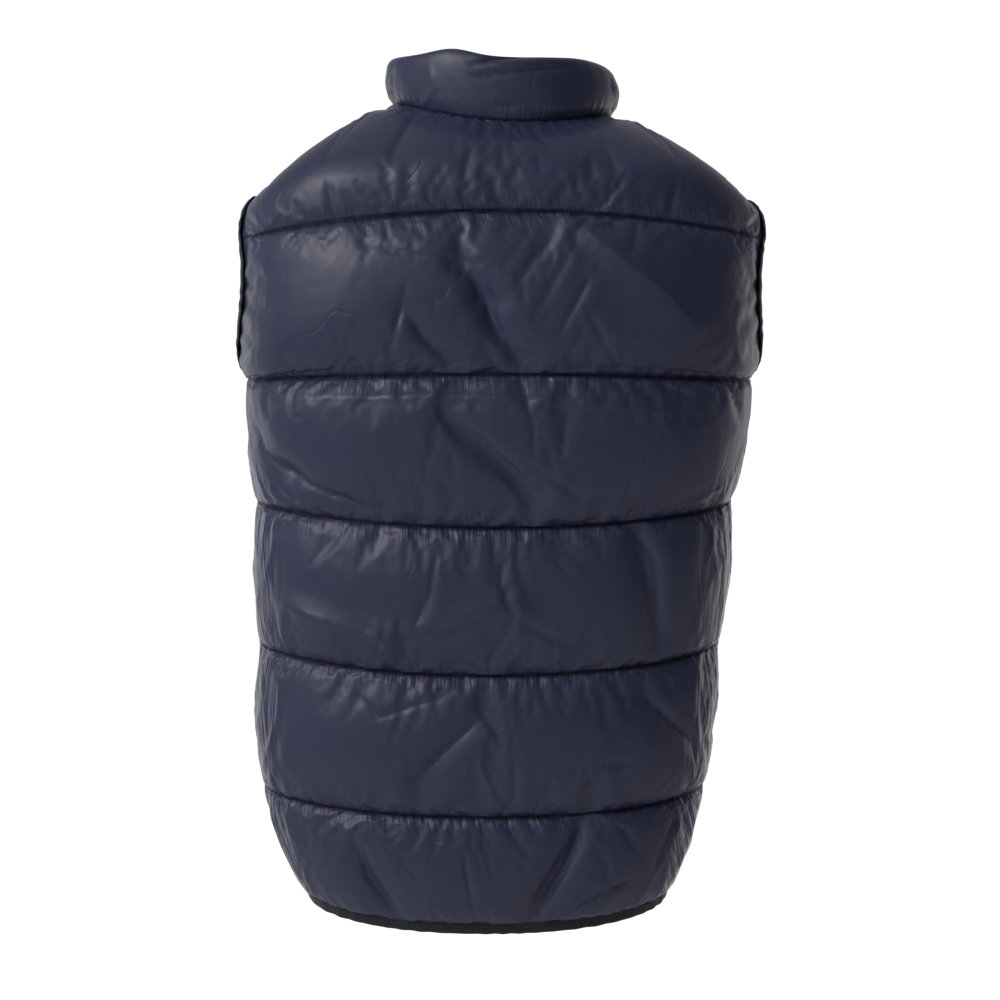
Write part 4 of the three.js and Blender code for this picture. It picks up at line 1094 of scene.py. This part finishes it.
# Acetal teeth have the soft satin of moulded plastic, a little uneven from the mould.
tooth_place = add_node(tooth_plastic, "ShaderNodeTexCoord")
tooth_tone = add_node(tooth_plastic, "ShaderNodeTexNoise", {
    "Vector": (tooth_place, "Object"), "Scale": 1 / (4 * MM), "Detail": 2.0})
tooth_gloss = add_node(tooth_plastic, "ShaderNodeMapRange", {
    "Value": (tooth_tone, "Fac"), "To Min": 0.38, "To Max": 0.52})
tooth_finish = add_node(tooth_plastic, "ShaderNodeBsdfPrincipled", {
    "Base Color": linear(TOOTH_COLOUR), "Roughness": (tooth_gloss, "Result"), "IOR": 1.48})
add_node(tooth_plastic, "ShaderNodeOutputMaterial", {"Surface": (tooth_finish, "BSDF")})

zip_run = lengths(zip_path[:, None], 0)[:, 0]
tooth_places = np.arange(TOOTH_PITCH / 2, zip_run[-1], TOOTH_PITCH / 2)
tooth_centres = sampled(tooth_places, zip_run, zip_path)
tooth_out = unit(sampled(tooth_places, zip_run, zip_out))
tooth_along = unit(np.gradient(tooth_centres, axis=0))
tooth_side = np.cross(tooth_along, tooth_out)
leaning = np.where(np.arange(len(tooth_places)) % 2 == 0, 1, -1)[:, None]
tooth_middle = (TEETH_INSIDE + TEETH_OUTSIDE) / 2
tooth_centres = tooth_centres + tooth_out * tooth_middle + tooth_side * leaning * TEETH_HALF_WIDTH * 0.22
tooth_sizes = np.broadcast_to(
    [TEETH_HALF_WIDTH * 0.76, (TEETH_OUTSIDE - TEETH_INSIDE) / 2, TOOTH_LENGTH / 2 * 0.82],
    (len(tooth_places), 3))
tooth_axes = np.stack([tooth_side, tooth_out, tooth_along], axis=1)
teeth_mesh = rounded_blocks("moulded_teeth", tooth_centres, tooth_axes, tooth_sizes, 8, 4)
add_piece("moulded_teeth", teeth_mesh, tooth_plastic, "vest", ["zip_teeth"])

ENAMEL_COLOUR = "#2E3038"
enamel = new_material("Enamelled die-cast zinc")
# Die-cast zinc under a thin baked enamel: smooth and semi-gloss, with the faint waviness of a casting.
enamel_place = add_node(enamel, "ShaderNodeTexCoord")
enamel_tone = add_node(enamel, "ShaderNodeTexNoise", {
    "Vector": (enamel_place, "Object"), "Scale": 1 / (5 * MM), "Detail": 3.0})
enamel_gloss = add_node(enamel, "ShaderNodeMapRange", {
    "Value": (enamel_tone, "Fac"), "To Min": 0.24, "To Max": 0.38})
enamel_bump = add_node(enamel, "ShaderNodeBump", {
    "Height": (enamel_tone, "Fac"), "Strength": 0.3, "Distance": 0.1 * MM})
enamel_finish = add_node(enamel, "ShaderNodeBsdfPrincipled", {
    "Base Color": linear(ENAMEL_COLOUR), "Metallic": 0.85, "Roughness": (enamel_gloss, "Result"),
    "Normal": (enamel_bump, "Normal")})
add_node(enamel, "ShaderNodeOutputMaterial", {"Surface": (enamel_finish, "BSDF")})


def rounded_casting(name, node, body, edge):
    """A CAD node's own solid, with its doubled points merged and its edges rounded as a casting's are."""
    mesh = bpy.data.objects[node].data.copy()
    mesh.name = name
    shape = bmesh.new()
    shape.from_mesh(mesh)
    bmesh.ops.remove_doubles(shape, verts=shape.verts, dist=1e-6)
    bmesh.ops.dissolve_limit(shape, angle_limit=0.02, verts=shape.verts, edges=shape.edges)
    shape.to_mesh(mesh)
    shape.free()
    mesh.materials.clear()
    piece = add_piece(name, mesh, enamel, body, [node])
    bevel = piece.modifiers.new("rounded edges", "BEVEL")
    bevel.width, bevel.segments, bevel.limit_method = edge * MM, 3, "ANGLE"
    bevel.angle_limit = np.radians(35)
    mesh.polygons.foreach_set("use_smooth", np.ones(len(mesh.polygons), dtype=bool))


rounded_casting("cast_slider", "zip_slider", "vest", 0.22)
rounded_casting("cast_pull", "zip_pull", "pull", 0.25)


# Stitching
# Lockstitches of spun polyester thread, about 3 mm long, hold the quilting lines, the bindings, the edges
# of the fronts beside the zip and the ends of the pocket welts.

STITCH_PITCH, STITCH_LENGTH, STITCH_WIDTH, STITCH_HEIGHT = 3.6, 2.7, 0.55, 0.45
STITCH_LIFT = 0.12              # how far a stitch's middle lies above the cloth
ZIP_STITCH_COLUMN = 3           # points in from the edge beside the zip
THREAD_COLOUR = "#2A2A3B"
thread = new_material("Spun polyester thread")
# Spun thread is matt and slightly hairy; its dye is a shade lighter than the shell in the folds it lies in.
thread_place = add_node(thread, "ShaderNodeTexCoord")
twist = add_node(thread, "ShaderNodeTexNoise", {
    "Vector": (thread_place, "Object"), "Scale": 1 / (0.6 * MM), "Detail": 2.0})
twist_bump = add_node(thread, "ShaderNodeBump", {
    "Height": (twist, "Fac"), "Strength": 0.5, "Distance": 0.1 * MM})
thread_finish = add_node(thread, "ShaderNodeBsdfPrincipled", {
    "Base Color": linear(THREAD_COLOUR), "Roughness": 0.75, "Normal": (twist_bump, "Normal"),
    "Sheen Weight": 0.2})
add_node(thread, "ShaderNodeOutputMaterial", {"Surface": (thread_finish, "BSDF")})


def stitch_line(path, normals, margin=4.0):
    """Centres, axes and half sizes of the stitches along a path."""
    run = lengths(path[:, None], 0)[:, 0]
    places = np.arange(margin, run[-1] - margin, STITCH_PITCH)
    centres = sampled(places, run, path)
    upward = unit(sampled(places, run, normals))
    ahead = sampled(places + 1, run, path) - sampled(places - 1, run, path)
    along = unit(ahead - upward * (ahead * upward).sum(-1, keepdims=True))
    axes = np.stack([np.cross(upward, along), upward, along], axis=1)
    sizes = np.broadcast_to([STITCH_WIDTH / 2, STITCH_HEIGHT / 2, STITCH_LENGTH / 2], centres.shape)
    return centres + upward * STITCH_LIFT, axes, sizes


def lap_stitches(rings, ahead, margin):
    """The stitches along a binding's lap, on the side of the tape that faces outwards."""
    edge = rings[:, 1]
    out = unit(np.cross(unit(edge - rings[:, 0]), ahead))
    out *= np.sign((out * (edge - rings[:, -2])).sum(-1, keepdims=True))
    return stitch_line(edge, out, margin)


def sew(name, lines):
    centres, axes, sizes = (np.concatenate(part) for part in zip(*lines))
    add_piece(name, rounded_blocks(name, centres, axes, sizes, 6, 4), thread, "vest", [])


quilting = []
edges = []
for outer, grid, zip_column in (
        (back_outer, back_grid, None), (left_outer, left_grid, ZIP_STITCH_COLUMN),
        (right_outer, right_grid, -1 - ZIP_STITCH_COLUMN)):
    for line in range(1, TOP_EDGE):
        row = line * ROWS_A_CHANNEL
        quilting.append(stitch_line(outer[row], grid["normals"][row]))
    if zip_column is not None:
        edges.append(stitch_line(outer[:, zip_column], grid["normals"][:, zip_column]))
sew("quilting_stitches", quilting)
for rings in armhole_rings.values():
    edges.append(lap_stitches(rings, np.roll(rings[:, 1], -1, 0) - rings[:, 1], 1.0))
edges.append(lap_stitches(hem_rings, np.gradient(hem_rings[:, 1], axis=0), 4.0))
for top in (left_welt, right_welt):
    for row in (2, -3):
        outward = unit(top[row, WELT_COLUMNS // 2] * [1, 1, 0])
        edges.append(stitch_line(top[row], np.broadcast_to(outward, top[row].shape), 1.0))
sew("edge_stitches", edges)


# Studio
# A white room: a pale floor where the wearer would stand, whose far part glows with painted light, a white
# wall behind the vest that is brightest in its middle, a dimmer room on the camera's side, and three soft
# lamps.

floor_mesh = bpy.data.meshes.new("floor")
FLOOR_HALF, FLOOR_HEIGHT = 9.0, -1.45
floor_mesh.from_pydata(
    [(-FLOOR_HALF, -FLOOR_HALF, FLOOR_HEIGHT), (FLOOR_HALF, -FLOOR_HALF, FLOOR_HEIGHT),
     (FLOOR_HALF, FLOOR_HALF, FLOOR_HEIGHT), (-FLOOR_HALF, FLOOR_HALF, FLOOR_HEIGHT)], [], [(0, 1, 2, 3)])
floor = in_scene("floor", floor_mesh)
pale = new_material("Pale studio floor")
floor_place = add_node(pale, "ShaderNodeTexCoord")
floor_parts = add_node(pale, "ShaderNodeSeparateXYZ", {"Vector": (floor_place, "Object")})
# Painted light: the floor glows, from nothing at 0.9 m beyond the vest to a strength of 0.75 at 1.5 m and
# further, standing in for lamps that light the far floor
far_floor_glow = add_node(pale, "ShaderNodeMapRange", {
    "Value": (floor_parts, "Y"), "From Min": -0.9, "From Max": -1.5, "To Min": 0.0, "To Max": 0.75})
pale_finish = add_node(pale, "ShaderNodeBsdfPrincipled", {
    "Base Color": linear("#F0F0F0"), "Roughness": 0.9, "Emission Color": (1, 1, 1, 1),
    "Emission Strength": (far_floor_glow, "Result")})
add_node(pale, "ShaderNodeOutputMaterial", {"Surface": (pale_finish, "BSDF")})
floor_mesh.materials.append(pale)

WALL_LIGHT = 1.05               # the white wall behind the vest, against the room on the camera's side
studio = bpy.data.worlds.new("White studio")
bpy.context.scene.world = studio
studio.use_nodes = True
studio.node_tree.nodes.clear()
direction = add_node(studio, "ShaderNodeTexCoord")
parts = add_node(studio, "ShaderNodeSeparateXYZ", {"Vector": (direction, "Generated")})
from_wall = add_node(studio, "ShaderNodeMapRange", {
    "Value": (parts, "Y"), "From Min": -0.25, "From Max": 0.35, "To Min": 1.0, "To Max": 0.0})
room_side = add_node(studio, "ShaderNodeMapRange", {
    "Value": (parts, "X"), "From Min": -0.8, "From Max": 0.9, "To Min": 0.0, "To Max": 0.44})
wall = add_node(studio, "ShaderNodeMapRange", {
    "Value": (parts, "Z"), "From Min": 0.22, "From Max": 0.6, "To Min": WALL_LIGHT, "To Max": 0.4})
aside = add_node(studio, "ShaderNodeMath", {0: (parts, "X")}, operation="ABSOLUTE")
wall_end = add_node(studio, "ShaderNodeMapRange", {
    "Value": (aside, "Value"), "From Min": 0.32, "From Max": 0.62, "To Min": 1.0, "To Max": 0.4})
wall_light = add_node(studio, "ShaderNodeMath", {
    0: (wall, "Result"), 1: (wall_end, "Result")}, operation="MULTIPLY")
light = add_node(studio, "ShaderNodeMix", {
    0: (from_wall, "Result"), 2: (room_side, "Result"), 3: (wall_light, "Value")}, data_type="FLOAT")
sky = add_node(studio, "ShaderNodeBackground", {"Color": (1, 1, 1, 1), "Strength": (light, "Result")})
add_node(studio, "ShaderNodeOutputWorld", {"Surface": (sky, "Background")})


LIT_POINT = np.array([0, 0, -0.35])
for name, place, size, power in (
        ("key", (1.9, 1.7, 1.3), 1.4, 36),
        ("side_left", (1.7, -1.2, -0.2), 0.8, 2.5),
        ("side_right", (-1.7, -1.2, -0.2), 0.8, 2)):
    lamp = bpy.data.lights.new(name, "AREA")
    lamp.shape, lamp.size, lamp.energy = "DISK", size, power
    holder = in_scene(name, lamp)
    aim = unit(LIT_POINT - place)
    right = unit(np.cross(aim, [0, 0, 1]))
    turned = np.eye(4)
    turned[:3] = np.stack([right, np.cross(right, aim), -aim, place], axis=-1)
    holder.matrix_world = Matrix(turned.tolist())

bpy.context.scene.view_settings.view_transform = "Standard"

# Camera: 1.6 m behind the vest and 0.2 m below its neck, tipped 5.5 degrees down
CAMERA_PLACE, CAMERA_DOWN, CAMERA_LENS = (0.0018, 1.63, -0.2), 5.5, 63
camera = in_scene("camera", bpy.data.cameras.new("camera"))
camera.data.lens, camera.data.sensor_width = CAMERA_LENS, 36
camera.location = CAMERA_PLACE
camera.rotation_euler = (np.radians(90 - CAMERA_DOWN), 0, np.pi)
bpy.context.scene.camera = camera
